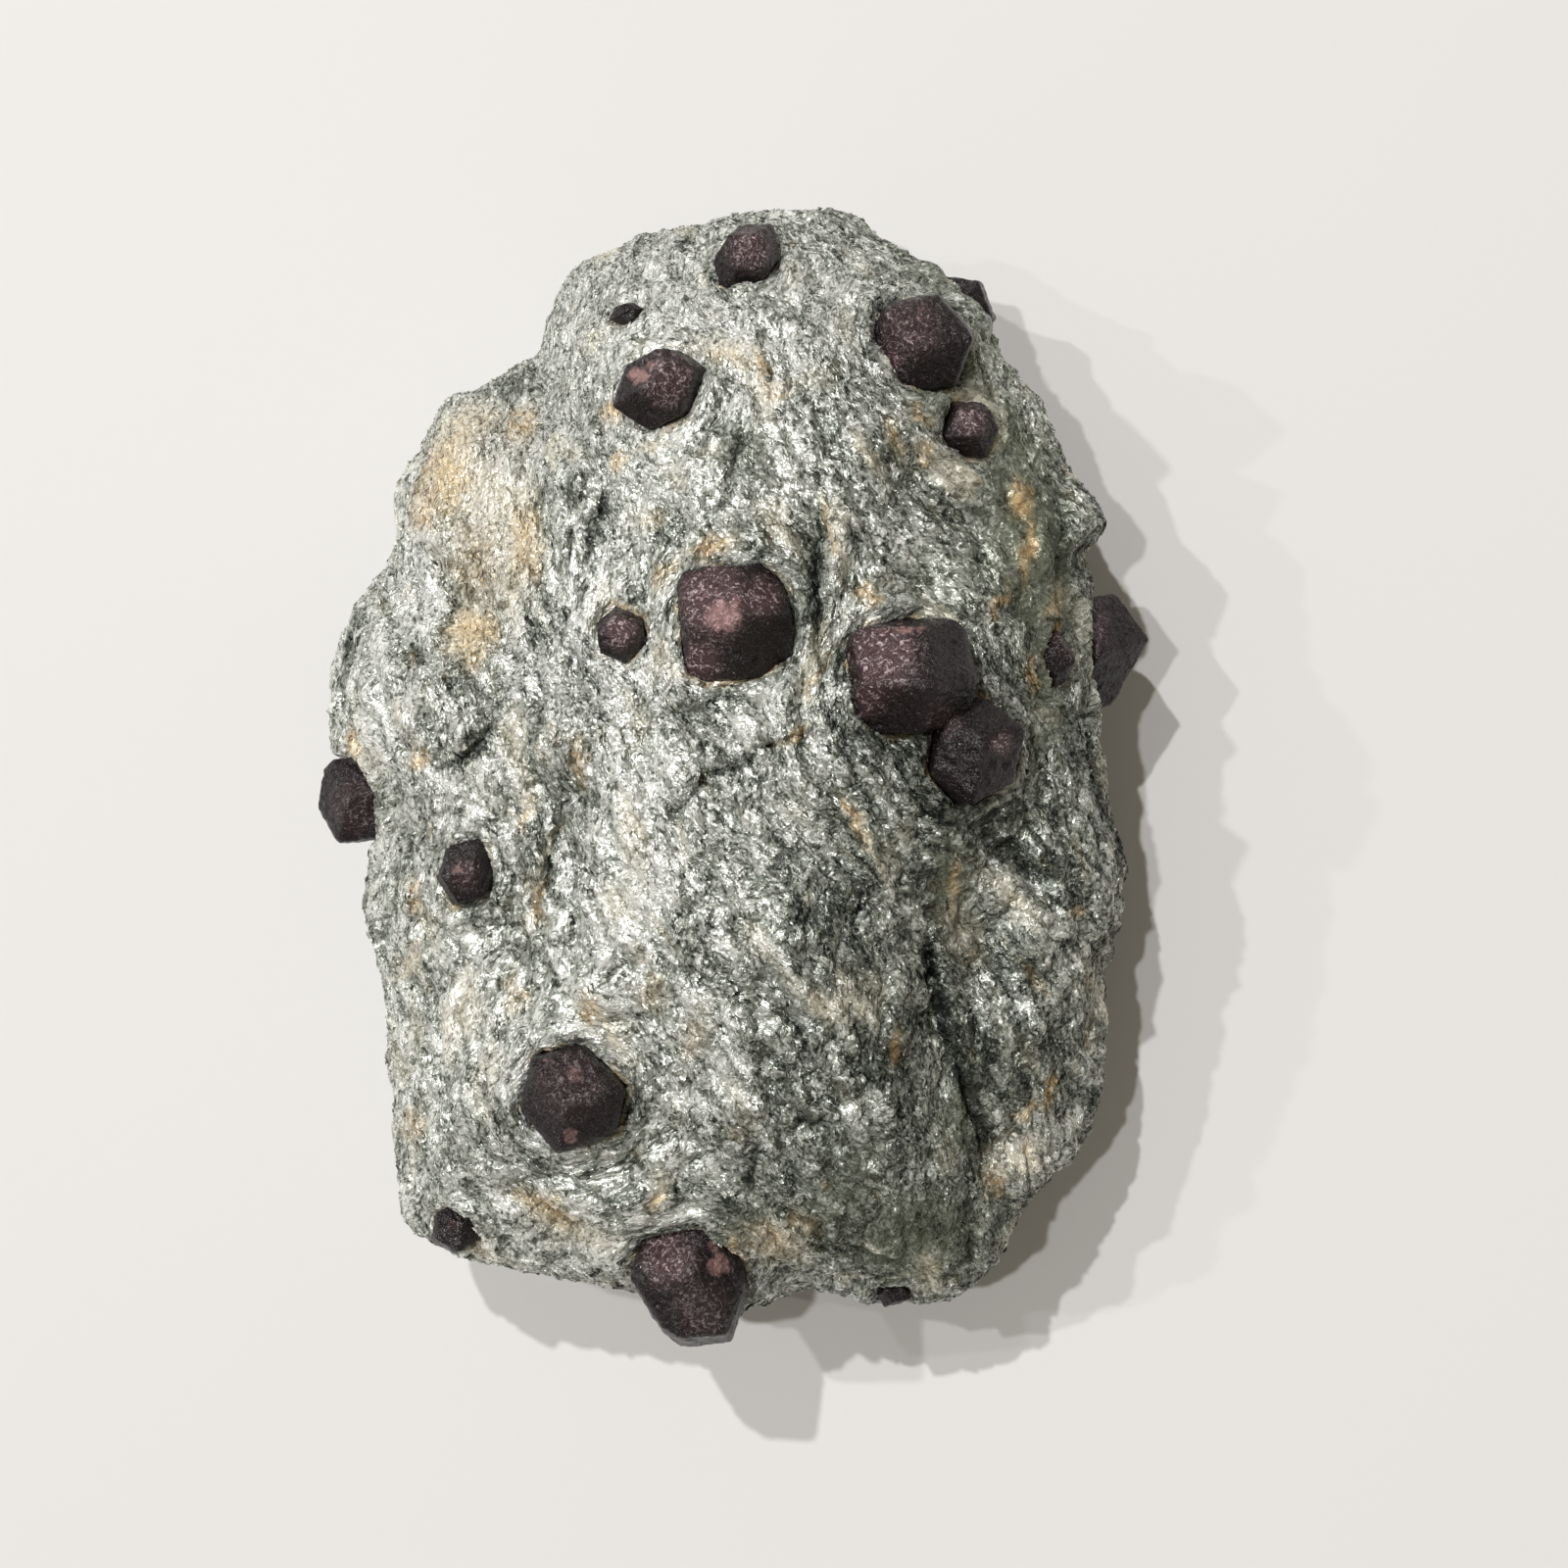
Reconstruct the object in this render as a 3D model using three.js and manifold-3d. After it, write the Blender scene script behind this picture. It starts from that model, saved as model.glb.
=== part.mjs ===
// Garnet schist hand specimen: one lump of silvery-green mica schist with crystals of almandine
// garnet grown in it. Millimetres, +Z up. The lump lies on its flat split face at z = 0, its long
// way runs along Y, and the origin is under the middle of the whole specimen's box.
// Each garnet is a solid of its own, sitting in a socket that it pressed into the schist as it grew.

import * as THREE from 'three';
import { ConvexGeometry } from 'three/addons/geometries/ConvexGeometry.js';
import { mergeVertices } from 'three/addons/utils/BufferGeometryUtils.js';
import Module from 'manifold-3d';

// ---- Driving dimensions ----

const RIM_HEIGHT = 21;          // height of the lump's widest line above the table
const CREST_HEIGHT = 48;        // height of the domed back before its lumps and ledges
const SHOULDER_POWER = 0.52;    // below 1 the back is flat on top and steep at the rim
const FOOT_SHARE = 0.73;        // the resting face's reach, as a share of the outline
const UNDERCUT = [1.5, 0.58];   // powers of the curve from the resting face out to the rim
const FOOT_ROUND = [47, 66];    // half width and half length that the foot's outline tends to
const SOCKET_GAP = 0.3;         // clear space between a garnet and its socket
const TOP_EDGE = 0.93;          // share of the outline where the back passes into the flank
const FOOT_EDGE = 0.25;         // share of the undercut where the flank passes into the foot
const CELLS = [33, 45];         // surface cells across and along the back
const FLANK_ROWS = [2, 4];      // rows of cells on the flank above and below the rim
const FLANK_SPREAD = 1.3;       // above 1 the rows below the rim crowd towards it
const STEP_EDGE = 0.6;          // reach of a broken step's sharp edge
const PRESS_FROM = 0.8;         // share of the outline where the flank's ribs begin on the back
const RIM_CALM = 0.75;          // how much of the ribs is lost on the widest line itself
const FOOT_PLAIN = [0.85, 1.5]; // how plain the foot's outline is, and the power it fades with
const FOOT_CORNER = 2.5;        // above 2 the foot's plain outline is squarer than an ellipse

// Waves round the lump: [size, waves in a turn, start in radians].
const RIM_WAVES = [[1.5, 1, -Math.PI / 2], [1.2, 2, 0.6], [0.8, 5, 0]];   // of the widest line's height
const FOOT_WAVES = [[0.04, 3, 1], [0.03, 5, 2]];                          // of the foot's reach

// Ribs of the flanks: [size, waves in a turn, dip in radians for a millimetre of height, start].
const FLANK_RIBS = [[1.3, 7, 0.3, 0], [0.9, 12, -0.45, 1]];
const SHEET_RIBS = [0.6, 0.8, 2, 3];  // size, rise, bend and waves of the level ribs

// The widest line seen from above, anticlockwise from the right-hand side.
const OUTLINE = [
  [49.3, -29.2], [49.1, -24.6], [51, -16.4], [51.8, -12.3], [50.6, -7.1], [49.2, 2], [48.4, 9.8],
  [47.1, 25.4], [47, 30.6], [49.2, 34.5], [48.3, 36.9], [43.6, 43], [39.6, 51], [33.9, 57.9],
  [32.9, 63.5], [29.3, 66.4], [19.6, 72.2], [13.3, 75.2], [0.8, 75.7], [-7.1, 73.3], [-16.2, 70.9],
  [-22.3, 65.5], [-24, 60.9], [-24.9, 56.5], [-31.4, 53.6], [-38.3, 50.8], [-41.5, 44.9],
  [-44.9, 39.5], [-44.9, 33.5], [-45.7, 28], [-50.5, 22.4], [-53.1, 15], [-53, 6.6], [-49.6, -4.5],
  [-48, -9.7], [-48.9, -16.8], [-46.6, -23.7], [-45, -33.7], [-44.1, -46.1], [-44.5, -51.5],
  [-42.8, -59.3], [-35, -63.1], [-27.2, -65.3], [-13.6, -67.9], [-6.4, -68.4], [0.1, -70.8],
  [9.2, -67.7], [23.5, -69.4], [29.3, -69.6], [33.6, -66.4], [37.9, -58.2], [45.6, -48],
  [48.8, -35],
];

// Rounded lumps and hollows of the back: [x, y, rise, reach along, reach across, turn in degrees].
const LUMPS = [
  [6, 14, 4, 22, 12, 100],        // highest part of the crest
  [8, -26, 5.5, 25, 13, 95],      // long smooth hump of the lower half
  [22, -28, 2.5, 12, 5, 95],      // the hump's right shoulder
  [-44, 12, 3, 7, 6, 90],         // knob over the left garnet
  [-40, 45, 3.5, 6, 5, 40],       // upper left shoulder
  [-20.2, 36.8, 2.4, 3.2, 3, 0],  // mica wrapped over a buried garnet
  [-2.1, 38.2, 2.8, 4.2, 4, 0],   // smooth boss above the centre garnet
  [-9, 10, 1.6, 6, 3, 130],       // lip below left of the centre garnet
  [8, 17, -2.6, 4, 5, 90],        // hollow right of the centre garnet
  [26, 56, 2.6, 8, 8, 0],         // swell round the upper right garnet
  [2, 67, 2, 7, 5, 60],           // swell round the top garnet
  [-9, 49, 1.8, 7, 6, 0],         // swell round the upper left garnet
  [33, 30, -2.5, 12, 6, 110],     // slack of the right flank
  [37, 18, 3, 6, 5, 80],          // swell round the small right garnet
  [26, 8, 2.2, 11, 7, 120],       // swell round the pair
  [34.8, -15.2, 2.6, 7, 2, 130],  // bright rib on the right terrace
  [36.5, -9.5, -1.8, 6, 2, 130],  // dark scarp above the rib
  [31, -22, -5, 12, 5, 85],       // trough at the foot of the ledge
  [44, -20, 2.5, 7, 5, 75],       // lower right swell
  [38.9, -46.6, -3, 3, 2.8, 0],   // pit left by a lost garnet
  [42, -51, 2, 4, 3, 30],         // rim of the pit
  [32, -50, -2, 8, 3.5, 70],      // groove down to the lower edge
  [-20, -40, 1.8, 9, 8, 0],       // swell round the lower left garnet
  [-30, -22, -2, 9, 5, 80],       // slack of the lower left
  [-36, 28, -2, 8, 5, 70],        // slack above the left knob
  [-24, -57, 2, 6, 4, 20],        // swirl at the lower left edge
  [-6, -57, 1, 8, 4, 0],          // swell above the bottom garnet
  [8, -59, 1.6, 5, 4, 0],         // swirl right of the bottom garnet
  [-30, 50, -4, 4, 4, 0],         // dark niche in the upper left edge
  [20, 69, 2, 8, 5, 150],         // top right shoulder
  [4, 50, 4.5, 16, 14, 90],       // fullness of the upper back
  [-27, 22, 1.8, 14, 3.4, 112],   // crenulation ridges, all along the grain of the mica
  [-36, 2, 1.8, 12, 3.2, 105],
  [-14, 0, 1.6, 16, 3.6, 110],
  [-32, -34, 1.6, 14, 3.2, 98],
  [-6, -14, 1.4, 14, 3.4, 100],
  [16, -46, 1.8, 14, 4, 100],
  [-24, 44, 1.6, 10, 3.2, 120],
  [14, 48, 1.4, 12, 3.2, 100],
  [30, 22, 1.5, 10, 3.2, 100],
];

// Broken steps of the back: [x, y, drop, turn in degrees, half length, reach past the step].
// The low side lies to the right of the step's direction.
const STEPS = [
  [26, -28, 4.6, -80, 14, 9],     // ledge down the right side of the hump
  [36, -9, 2.2, -38, 9, 8],       // scarp over the right terrace
  [11.5, 29, 1.6, -92, 11, 5],    // crease above the pair
  [-22, -6, 1.4, 75, 13, 7],      // arc crack left of the hump
];

// Broken faces of the flanks: [compass, dip, distance from the lump's middle]. Compass turns
// anticlockwise from +X, and dip is positive where the face looks up. What lies past it is gone.
const BREAKS = [
  [-8, -38, 44.5], [28, -30, 52], [62, -40, 57], [100, -35, 61], [150, -42, 47.5],
  [188, -33, 44], [222, -40, 53], [262, -36, 58.5], [300, -40, 58.5], [335, -32, 51.5],
  [-14, 32, 45.5], [38, 36, 50], [205, 34, 51], [285, 38, 56.5], [128, 36, 51.5],
];
const LUMP_MIDDLE = [0, 0, 24];
const BREAK_ROUNDING = 0.5;     // how softly a broken face turns into its neighbours

// Garnets: [name, x, y, z of the middle, half width, facing, lean, towards, twist, stretch, along].
// Facing says what looks up: a blunt corner (three faces), a sharp corner (four faces) or a face.
// The crystal leans from upright towards a compass direction, one edge or the face's long way
// points along the twist, and it is stretched along a compass direction. Angles are in degrees.
const GARNETS = [
  ['garnet_top', 1.8, 67.2, 37, 3.4, 'face', 8, 50, 55, 1.2, 55],
  ['garnet_upper_right', 24.2, 56.1, 36.4, 5.9, 'blunt', 10, 240, 10, 1.05, 0],
  ['garnet_upper_left', -9.1, 49.4, 46, 4.4, 'blunt', 16, 195, 82, 1.15, 34],
  ['garnet_small_upper_right', 30.3, 45.3, 36, 3.1, 'face', 10, 120, 120, 1.1, 25],
  ['garnet_upper_right_edge', 29.8, 62.8, 19.5, 4.2, 'blunt', 10, 210, 50, 1, 0],
  ['garnet_centre', 0.4, 19.5, 49.4, 6.6, 'sharp', 6, 20, 5, 1.12, 95],
  ['garnet_small_centre', -13.8, 18.2, 48.6, 2.7, 'blunt', 20, 280, 40, 1.05, 0],
  ['garnet_right_edge', 45.9, 16.3, 19, 6.3, 'face', 12, 190, 6, 1.35, 58],
  ['garnet_small_right', 41.7, 15.5, 33.9, 2.2, 'face', 15, 0, 85, 1.35, 85],
  ['garnet_left_edge', -49.0, -2.6, 26, 5.2, 'blunt', 15, 180, 10, 1.05, 80],
  ['garnet_small_left', -34.2, -11.9, 41.2, 3, 'blunt', 15, 20, 70, 1.25, 80],
  ['garnet_lower_left', -20.2, -40.2, 44.2, 6.0, 'blunt', 6, 250, 15, 1.04, 120],
  ['garnet_lower_left_corner', -36.4, -58.8, 30, 2.8, 'blunt', 20, 40, 30, 1.05, 90],
  ['garnet_bottom_edge', -5.5, -65.4, 31.5, 6.4, 'blunt', 15, 95, 66, 1.28, 112],
  ['garnet_tiny_upper_left', -13.8, 60.3, 35.7, 1.3, 'face', 5, 0, 20, 1.3, 10],
  ['garnet_tiny_bottom_edge', 21.2, -68, 24, 1.6, 'blunt', 40, 270, 0, 1.2, 10],
  ['garnet_right_flank', 44.9, -22.9, 13, 4.2, 'blunt', 70, 350, 50, 1.05, 70],
  ['garnet_left_flank', -45.5, 16.6, 12.5, 4.6, 'sharp', 75, 160, 20, 1.05, 100],
  ['garnet_bottom_flank', 23.8, -62.1, 12, 3.8, 'blunt', 80, 290, 0, 1.05, 0],
  ['garnet_top_flank', -9.1, 64.8, 12.5, 4.2, 'face', 80, 100, 30, 1, 0],
];

// Two garnets that grew into each other, joined in one solid.
const GARNET_PAIR = [
  ['left half', 22.3, 12.8, 49, 6.8, 'sharp', 17, 325, 4, 1.12, 5],
  ['right half', 30.3, 3.5, 45, 5.6, 'blunt', 13, 10, 22, 1.1, 70],
];

// ---- Finishes ----

const SCHIST = new THREE.MeshStandardMaterial({ color: '#8d9a92', roughness: 0.5, metalness: 0.1 });
const GARNET = new THREE.MeshStandardMaterial({ color: '#3c2a31', roughness: 0.45, metalness: 0 });
SCHIST.name = 'mica_schist';
GARNET.name = 'almandine_garnet';

// ---- The lump of schist ----

// Reach of the outline in each direction: its points in polar form, joined by smooth cubics.
const rimPoints = OUTLINE.map(([x, y]) => ({ turn: Math.atan2(y, x), reach: Math.hypot(x, y) }));
rimPoints.sort((a, b) => a.turn - b.turn);

function rimPoint(index) {
  const count = rimPoints.length;
  const laps = Math.floor(index / count);
  const point = rimPoints[index - laps * count];
  return { turn: point.turn + laps * 2 * Math.PI, reach: point.reach };
}

function rimSlope(index) {
  const before = rimPoint(index - 1);
  const after = rimPoint(index + 1);
  return (after.reach - before.reach) / (after.turn - before.turn);
}

function outlineReach(turn) {
  let index = rimPoints.findIndex((point) => point.turn > turn);
  index = index < 0 ? rimPoints.length - 1 : index - 1;
  const from = rimPoint(index);
  const to = rimPoint(index + 1);
  const span = to.turn - from.turn;
  const t = (turn - from.turn) / span;
  const blend = t * t * (3 - 2 * t);
  const lean = rimSlope(index) * t * (1 - t) * (1 - t) - rimSlope(index + 1) * t * t * (1 - t);
  return from.reach + (to.reach - from.reach) * blend + span * lean;
}

function lumpRise(x, y) {
  return LUMPS.reduce((sum, [cx, cy, rise, along, across, turn]) => {
    const angle = THREE.MathUtils.degToRad(turn);
    const u = (x - cx) * Math.cos(angle) + (y - cy) * Math.sin(angle);
    const v = (y - cy) * Math.cos(angle) - (x - cx) * Math.sin(angle);
    return sum + rise * Math.exp(-0.5 * ((u / along) ** 2 + (v / across) ** 2));
  }, 0);
}

// A step is sharp at its line and fades out below it; its two ends taper away.
function stepFall(x, y) {
  return STEPS.reduce((sum, [cx, cy, drop, turn, halfLength, fade]) => {
    const angle = THREE.MathUtils.degToRad(turn);
    const u = (x - cx) * Math.cos(angle) + (y - cy) * Math.sin(angle);
    const low = (x - cx) * Math.sin(angle) - (y - cy) * Math.cos(angle);
    const taper = Math.exp(-((u / halfLength) ** 4));
    const edge = 1 / (1 + Math.exp(-low / STEP_EDGE));
    return sum + drop * taper * edge * Math.exp(-Math.max(low, 0) / fade);
  }, 0);
}

function waves(list, turn) {
  return list.reduce((sum, [size, count, start]) => sum + size * Math.sin(count * turn + start), 0);
}

// Height of the widest line: the lump leans a little, so it is lower at the right and the ends.
function rimHeight(turn) {
  return RIM_HEIGHT + waves(RIM_WAVES, turn);
}

function backHeight(x, y, turn, share) {
  const rim = rimHeight(turn);
  const dome = (CREST_HEIGHT - rim) * Math.pow(1 - share * share, SHOULDER_POWER);
  const fade = 1 - Math.pow(share, 8);
  return rim + dome + fade * (lumpRise(x, y) - stepFall(x, y));
}

// The foot is flat, and its edge wanders; outside it the flank curves up to the rim.
function footShare(turn) {
  return FOOT_SHARE + waves(FOOT_WAVES, turn);
}

function underHeight(turn, t) {
  const [inner, outer] = UNDERCUT;
  return rimHeight(turn) * (1 - Math.pow(1 - Math.pow(t, inner), outer));
}

// The foliation shows on the flanks as low ribs that dip round the lump.
function flankRib(turn, z) {
  const [size, rise, bend, count] = SHEET_RIBS;
  const level = size * Math.sin(rise * z + bend * Math.sin(count * turn));
  return FLANK_RIBS.reduce((sum, [depth, ribs, dip, start]) => {
    return sum + depth * Math.sin(ribs * turn + dip * z + start);
  }, level);
}

// Each broken face presses what lies past its plane back onto the plane, with a soft edge. Its
// strength dies out at the rim, so the outline keeps its corners.
const breakPlanes = BREAKS.map(([compass, dip, distance]) => {
  const [a, b] = [compass, dip].map(THREE.MathUtils.degToRad);
  const normal = new THREE.Vector3(Math.cos(a) * Math.cos(b), Math.sin(a) * Math.cos(b), Math.sin(b));
  return new THREE.Plane(normal, -distance - normal.dot(new THREE.Vector3(...LUMP_MIDDLE)));
});

function breakOff(point, strength) {
  for (const plane of breakPlanes) {
    const past = plane.distanceToPoint(point);
    const press = 0.5 * (past + Math.hypot(past, BREAK_ROUNDING));
    point.addScaledVector(plane.normal, -press * strength);
  }
  return point;
}

// The outline's bays and corners belong to the rim; the foot tends to a plain rounded shape.
function footReach(turn) {
  const [halfWidth, halfLength] = FOOT_ROUND;
  const across = Math.abs(Math.cos(turn) / halfWidth) ** FOOT_CORNER;
  const along = Math.abs(Math.sin(turn) / halfLength) ** FOOT_CORNER;
  return (across + along) ** (-1 / FOOT_CORNER);
}

// One point of the skin: share is 0 at the middle and 1 on the widest line.
function skinPoint(turn, share, isBack) {
  const foot = footShare(turn);
  const t = Math.max(0, (share - foot) / (1 - foot));
  const [plainness, fading] = FOOT_PLAIN;
  const plain = isBack ? 0 : plainness * (1 - Math.pow(t, fading));
  const reach = share * (outlineReach(turn) * (1 - plain) + footReach(turn) * plain);
  const x = reach * Math.cos(turn);
  const y = reach * Math.sin(turn);
  const z = isBack ? backHeight(x, y, turn, share) : underHeight(turn, t);
  const press = isBack ? Math.max(0, share - PRESS_FROM) / (1 - PRESS_FROM) : t;
  const shift = flankRib(turn, z) * press * press * (1 - RIM_CALM * Math.pow(share, 12));
  const point = new THREE.Vector3(x + shift * Math.cos(turn), y + shift * Math.sin(turn), z);
  const hold = isBack ? Math.pow(share, 10) : Math.pow(t, 5);
  return share > foot || isBack ? breakOff(point, 1 - hold) : point;
}

// A square grid of cells bent into a disc: gives the turn and the share of the way out.
function discPlace(i, j) {
  const a = 2 * i / CELLS[0] - 1;
  const b = 2 * j / CELLS[1] - 1;
  if (a === 0 && b === 0) return { turn: 0, share: 0 };
  const wide = Math.abs(a) > Math.abs(b);
  const out = wide ? a : b;
  const bend = wide ? (Math.PI / 4) * (b / a) : Math.PI / 2 - (Math.PI / 4) * (a / b);
  const turn = out > 0 ? bend : bend + Math.PI;
  return { turn: Math.atan2(Math.sin(turn), Math.cos(turn)), share: Math.abs(out) };
}

function discRing() {
  const [nx, ny] = CELLS;
  const ring = [];
  for (let i = 0; i < nx; i += 1) ring.push(discPlace(i, 0).turn);
  for (let j = 0; j < ny; j += 1) ring.push(discPlace(nx, j).turn);
  for (let i = nx; i > 0; i -= 1) ring.push(discPlace(i, ny).turn);
  for (let j = ny; j > 0; j -= 1) ring.push(discPlace(0, j).turn);
  return ring;
}

function addQuad(corners, triangles) {
  const [a, b, c, d] = corners;
  triangles.push(a, b, c, a, c, d);
}

function addBack(triangles) {
  const [nx, ny] = CELLS;
  const place = (i, j) => {
    const { turn, share } = discPlace(i, j);
    return skinPoint(turn, share * TOP_EDGE, true);
  };
  for (let i = 0; i < nx; i += 1) {
    for (let j = 0; j < ny; j += 1) {
      addQuad([place(i, j), place(i + 1, j), place(i + 1, j + 1), place(i, j + 1)], triangles);
    }
  }
}

function flankPoint(turn, row) {
  const [above, below] = FLANK_ROWS;
  if (row <= above) {
    const start = Math.asin(TOP_EDGE);
    return skinPoint(turn, Math.sin(start + (Math.PI / 2 - start) * row / above), true);
  }
  const foot = footShare(turn);
  const t = 1 - (1 - FOOT_EDGE) * Math.pow((row - above) / below, FLANK_SPREAD);
  return skinPoint(turn, foot + (1 - foot) * t, false);
}

// The flank's rows of cells, then one row to the foot's edge, then the flat foot itself.
function addFlankAndFoot(triangles) {
  const ring = discRing();
  const rows = FLANK_ROWS[0] + FLANK_ROWS[1];
  const middle = new THREE.Vector3(0, 0, 0);
  ring.forEach((turn, k) => {
    const next = ring[(k + 1) % ring.length];
    for (let row = 0; row < rows; row += 1) {
      const quad = [flankPoint(turn, row), flankPoint(turn, row + 1)];
      quad.push(flankPoint(next, row + 1), flankPoint(next, row));
      addQuad(quad, triangles);
    }
    const footEdge = skinPoint(turn, footShare(turn), false);
    const nextEdge = skinPoint(next, footShare(next), false);
    addQuad([flankPoint(turn, rows), footEdge, nextEdge, flankPoint(next, rows)], triangles);
    triangles.push(footEdge, middle, nextEdge);
  });
}

function lumpGeometry() {
  const triangles = [];
  addBack(triangles);
  addFlankAndFoot(triangles);
  return new THREE.BufferGeometry().setFromPoints(triangles);
}

// ---- The garnets ----

// The twelve faces of a rhombic dodecahedron, and the twenty-four faces of a trapezohedron
// that bevel its edges. Each set is every order and sign of one pattern.
function faceNormals(pattern) {
  const normals = new Map();
  const orders = [[0, 1, 2], [1, 2, 0], [2, 0, 1], [0, 2, 1], [1, 0, 2], [2, 1, 0]];
  for (const order of orders) {
    for (let signs = 0; signs < 8; signs += 1) {
      const parts = order.map((k, axis) => pattern[k] * ((signs >> axis) & 1 ? -1 : 1) + 0);
      normals.set(parts.join(' '), new THREE.Vector3(...parts).normalize());
    }
  }
  return [...normals.values()];
}

const DODECAHEDRON = faceNormals([1, 1, 0]);
const TRAPEZOHEDRON = faceNormals([2, 1, 1]);
const CUBE = faceNormals([1, 0, 0]);
const BEVEL = 1.12;             // a bevel face's distance, in half widths
const WORN_CORNER = 1.32;       // a worn sharp corner's distance, in half widths
const BEVELLED_FROM = 4.4;      // crystals at least this half width show bevels and worn corners
const SHARP_EDGED = ['garnet_right_edge'];   // a large crystal that kept its edges
const GROWTH_SPREAD = 0.09;     // how unevenly the faces grew
const FLAT_MEETING = 0.02;      // three faces this near to parallel make no corner
const SAME_CORNER = 0.02;       // corners nearer than this are one

// The crystal direction that looks up, and the one that the twist is counted from.
const FACINGS = {
  blunt: [[1, 1, 1], [1, 0, 0]],
  sharp: [[0, 0, 1], [1, 1, 1]],
  face: [[1, 1, 0], [0, 0, 1]],
};

// Faces grow at slightly different speeds, so each stands a few per cent nearer or further.
function growth(face, crystal) {
  const roll = Math.sin(12.9898 * (face + 1) + 78.233 * (crystal + 1)) * 43758.5453;
  return 1 + GROWTH_SPREAD * (roll - Math.floor(roll) - 0.5);
}

function crystalPlanes(size, isPlain, crystal, spare) {
  const place = (normals, distance, first) => normals.map((normal, face) => {
    return new THREE.Plane(normal, -size * distance * growth(face + first, crystal) - spare);
  });
  const main = place(DODECAHEDRON, 1, 0);
  if (isPlain) return main;
  return [...main, ...place(TRAPEZOHEDRON, BEVEL, 12), ...place(CUBE, WORN_CORNER, 36)];
}

// The corners are the points where three faces meet and that no other face cuts off.
function crystalCorners(planes) {
  const corners = [];
  const matrix = new THREE.Matrix3();
  for (let a = 0; a < planes.length; a += 1) {
    for (let b = a + 1; b < planes.length; b += 1) {
      for (let c = b + 1; c < planes.length; c += 1) {
        const three = [planes[a], planes[b], planes[c]];
        matrix.set(...three.flatMap(({ normal }) => [normal.x, normal.y, normal.z]));
        if (Math.abs(matrix.determinant()) < FLAT_MEETING) continue;
        const corner = new THREE.Vector3(...three.map(({ constant }) => -constant));
        corner.applyMatrix3(matrix.invert());
        const isInside = planes.every((plane) => plane.distanceToPoint(corner) < 1e-6);
        const isNew = corners.every((other) => other.distanceTo(corner) > SAME_CORNER);
        if (isInside && isNew) corners.push(corner);
      }
    }
  }
  return corners;
}

// Turns the crystal so that the named part looks up, then twists it and leans it over.
function crystalTurn(facing, lean, towards, twist) {
  const [up, side] = FACINGS[facing].map((parts) => new THREE.Vector3(...parts).normalize());
  const across = new THREE.Vector3().crossVectors(up, side).normalize();
  const ahead = new THREE.Vector3().crossVectors(across, up);
  const upright = new THREE.Matrix4().makeBasis(ahead, across, up).transpose();
  const [leanBy, leanTo, twistBy] = [lean, towards, twist].map(THREE.MathUtils.degToRad);
  const hinge = new THREE.Vector3(-Math.sin(leanTo), Math.cos(leanTo), 0);
  const turned = new THREE.Matrix4().makeRotationZ(twistBy).multiply(upright);
  return new THREE.Matrix4().makeRotationAxis(hinge, leanBy).multiply(turned);
}

function crystalGeometry(row, crystal, spare) {
  const [name, x, y, z, size, facing, lean, towards, twist, stretch, along] = row;
  const isPlain = size < BEVELLED_FROM || SHARP_EDGED.includes(name);
  const geometry = new ConvexGeometry(crystalCorners(crystalPlanes(size, isPlain, crystal, spare)));
  const alongBy = THREE.MathUtils.degToRad(along);
  geometry.applyMatrix4(crystalTurn(facing, lean, towards, twist));
  geometry.rotateZ(-alongBy).scale(stretch, 1, 1).rotateZ(alongBy);
  return geometry.translate(x, y, z);
}

// ---- Cutting and joining ----

const wasm = await Module();
wasm.setup();

function toSolid(geometry) {
  const bare = geometry.clone();
  bare.deleteAttribute('normal');
  bare.deleteAttribute('uv');
  const merged = mergeVertices(bare, 1e-4);
  const vertProperties = new Float32Array(merged.attributes.position.array);
  const triVerts = new Uint32Array(merged.index.array);
  return new wasm.Manifold(new wasm.Mesh({ numProp: 3, vertProperties, triVerts }));
}

function toGeometry(solid) {
  const mesh = solid.getMesh();
  const geometry = new THREE.BufferGeometry();
  geometry.setAttribute('position', new THREE.BufferAttribute(new Float32Array(mesh.vertProperties), 3));
  geometry.setIndex([...mesh.triVerts]);
  geometry.computeVertexNormals();
  return geometry;
}

// ---- The specimen ----

const specimen = new THREE.Group();

function addPiece(name, geometry, material) {
  const piece = new THREE.Mesh(geometry, material);
  piece.name = name;
  specimen.add(piece);
}

const pairSeed = GARNETS.length;
const pairParts = (spare) => GARNET_PAIR.map((row, k) => {
  return toSolid(crystalGeometry(row, pairSeed + k, spare));
});
const [leftHalf, rightHalf] = pairParts(0);
const sockets = [
  ...GARNETS.map((row, k) => toSolid(crystalGeometry(row, k, SOCKET_GAP))),
  ...pairParts(SOCKET_GAP),
];
const schist = sockets.reduce((lump, socket) => lump.subtract(socket), toSolid(lumpGeometry()));

addPiece('schist_matrix', toGeometry(schist), SCHIST);
GARNETS.forEach((row, k) => addPiece(row[0], crystalGeometry(row, k, 0), GARNET));
addPiece('garnet_pair', toGeometry(leftHalf.add(rightHalf)), GARNET);

// The origin moves under the middle of the box.
const box = new THREE.Box3().setFromObject(specimen);
const middle = box.getCenter(new THREE.Vector3());
specimen.position.set(-middle.x, -middle.y, 0);

export default specimen;
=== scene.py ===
# Garnet schist hand specimen: crystals of almandine garnet in a lump of silvery-green mica schist.
# The shapes are worked out in millimetres, in the lump's own place; MM and LUMP_SHIFT bring them
# to the frame. The lump lies on its flat split face, and its long way runs along Y.

import math

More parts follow.
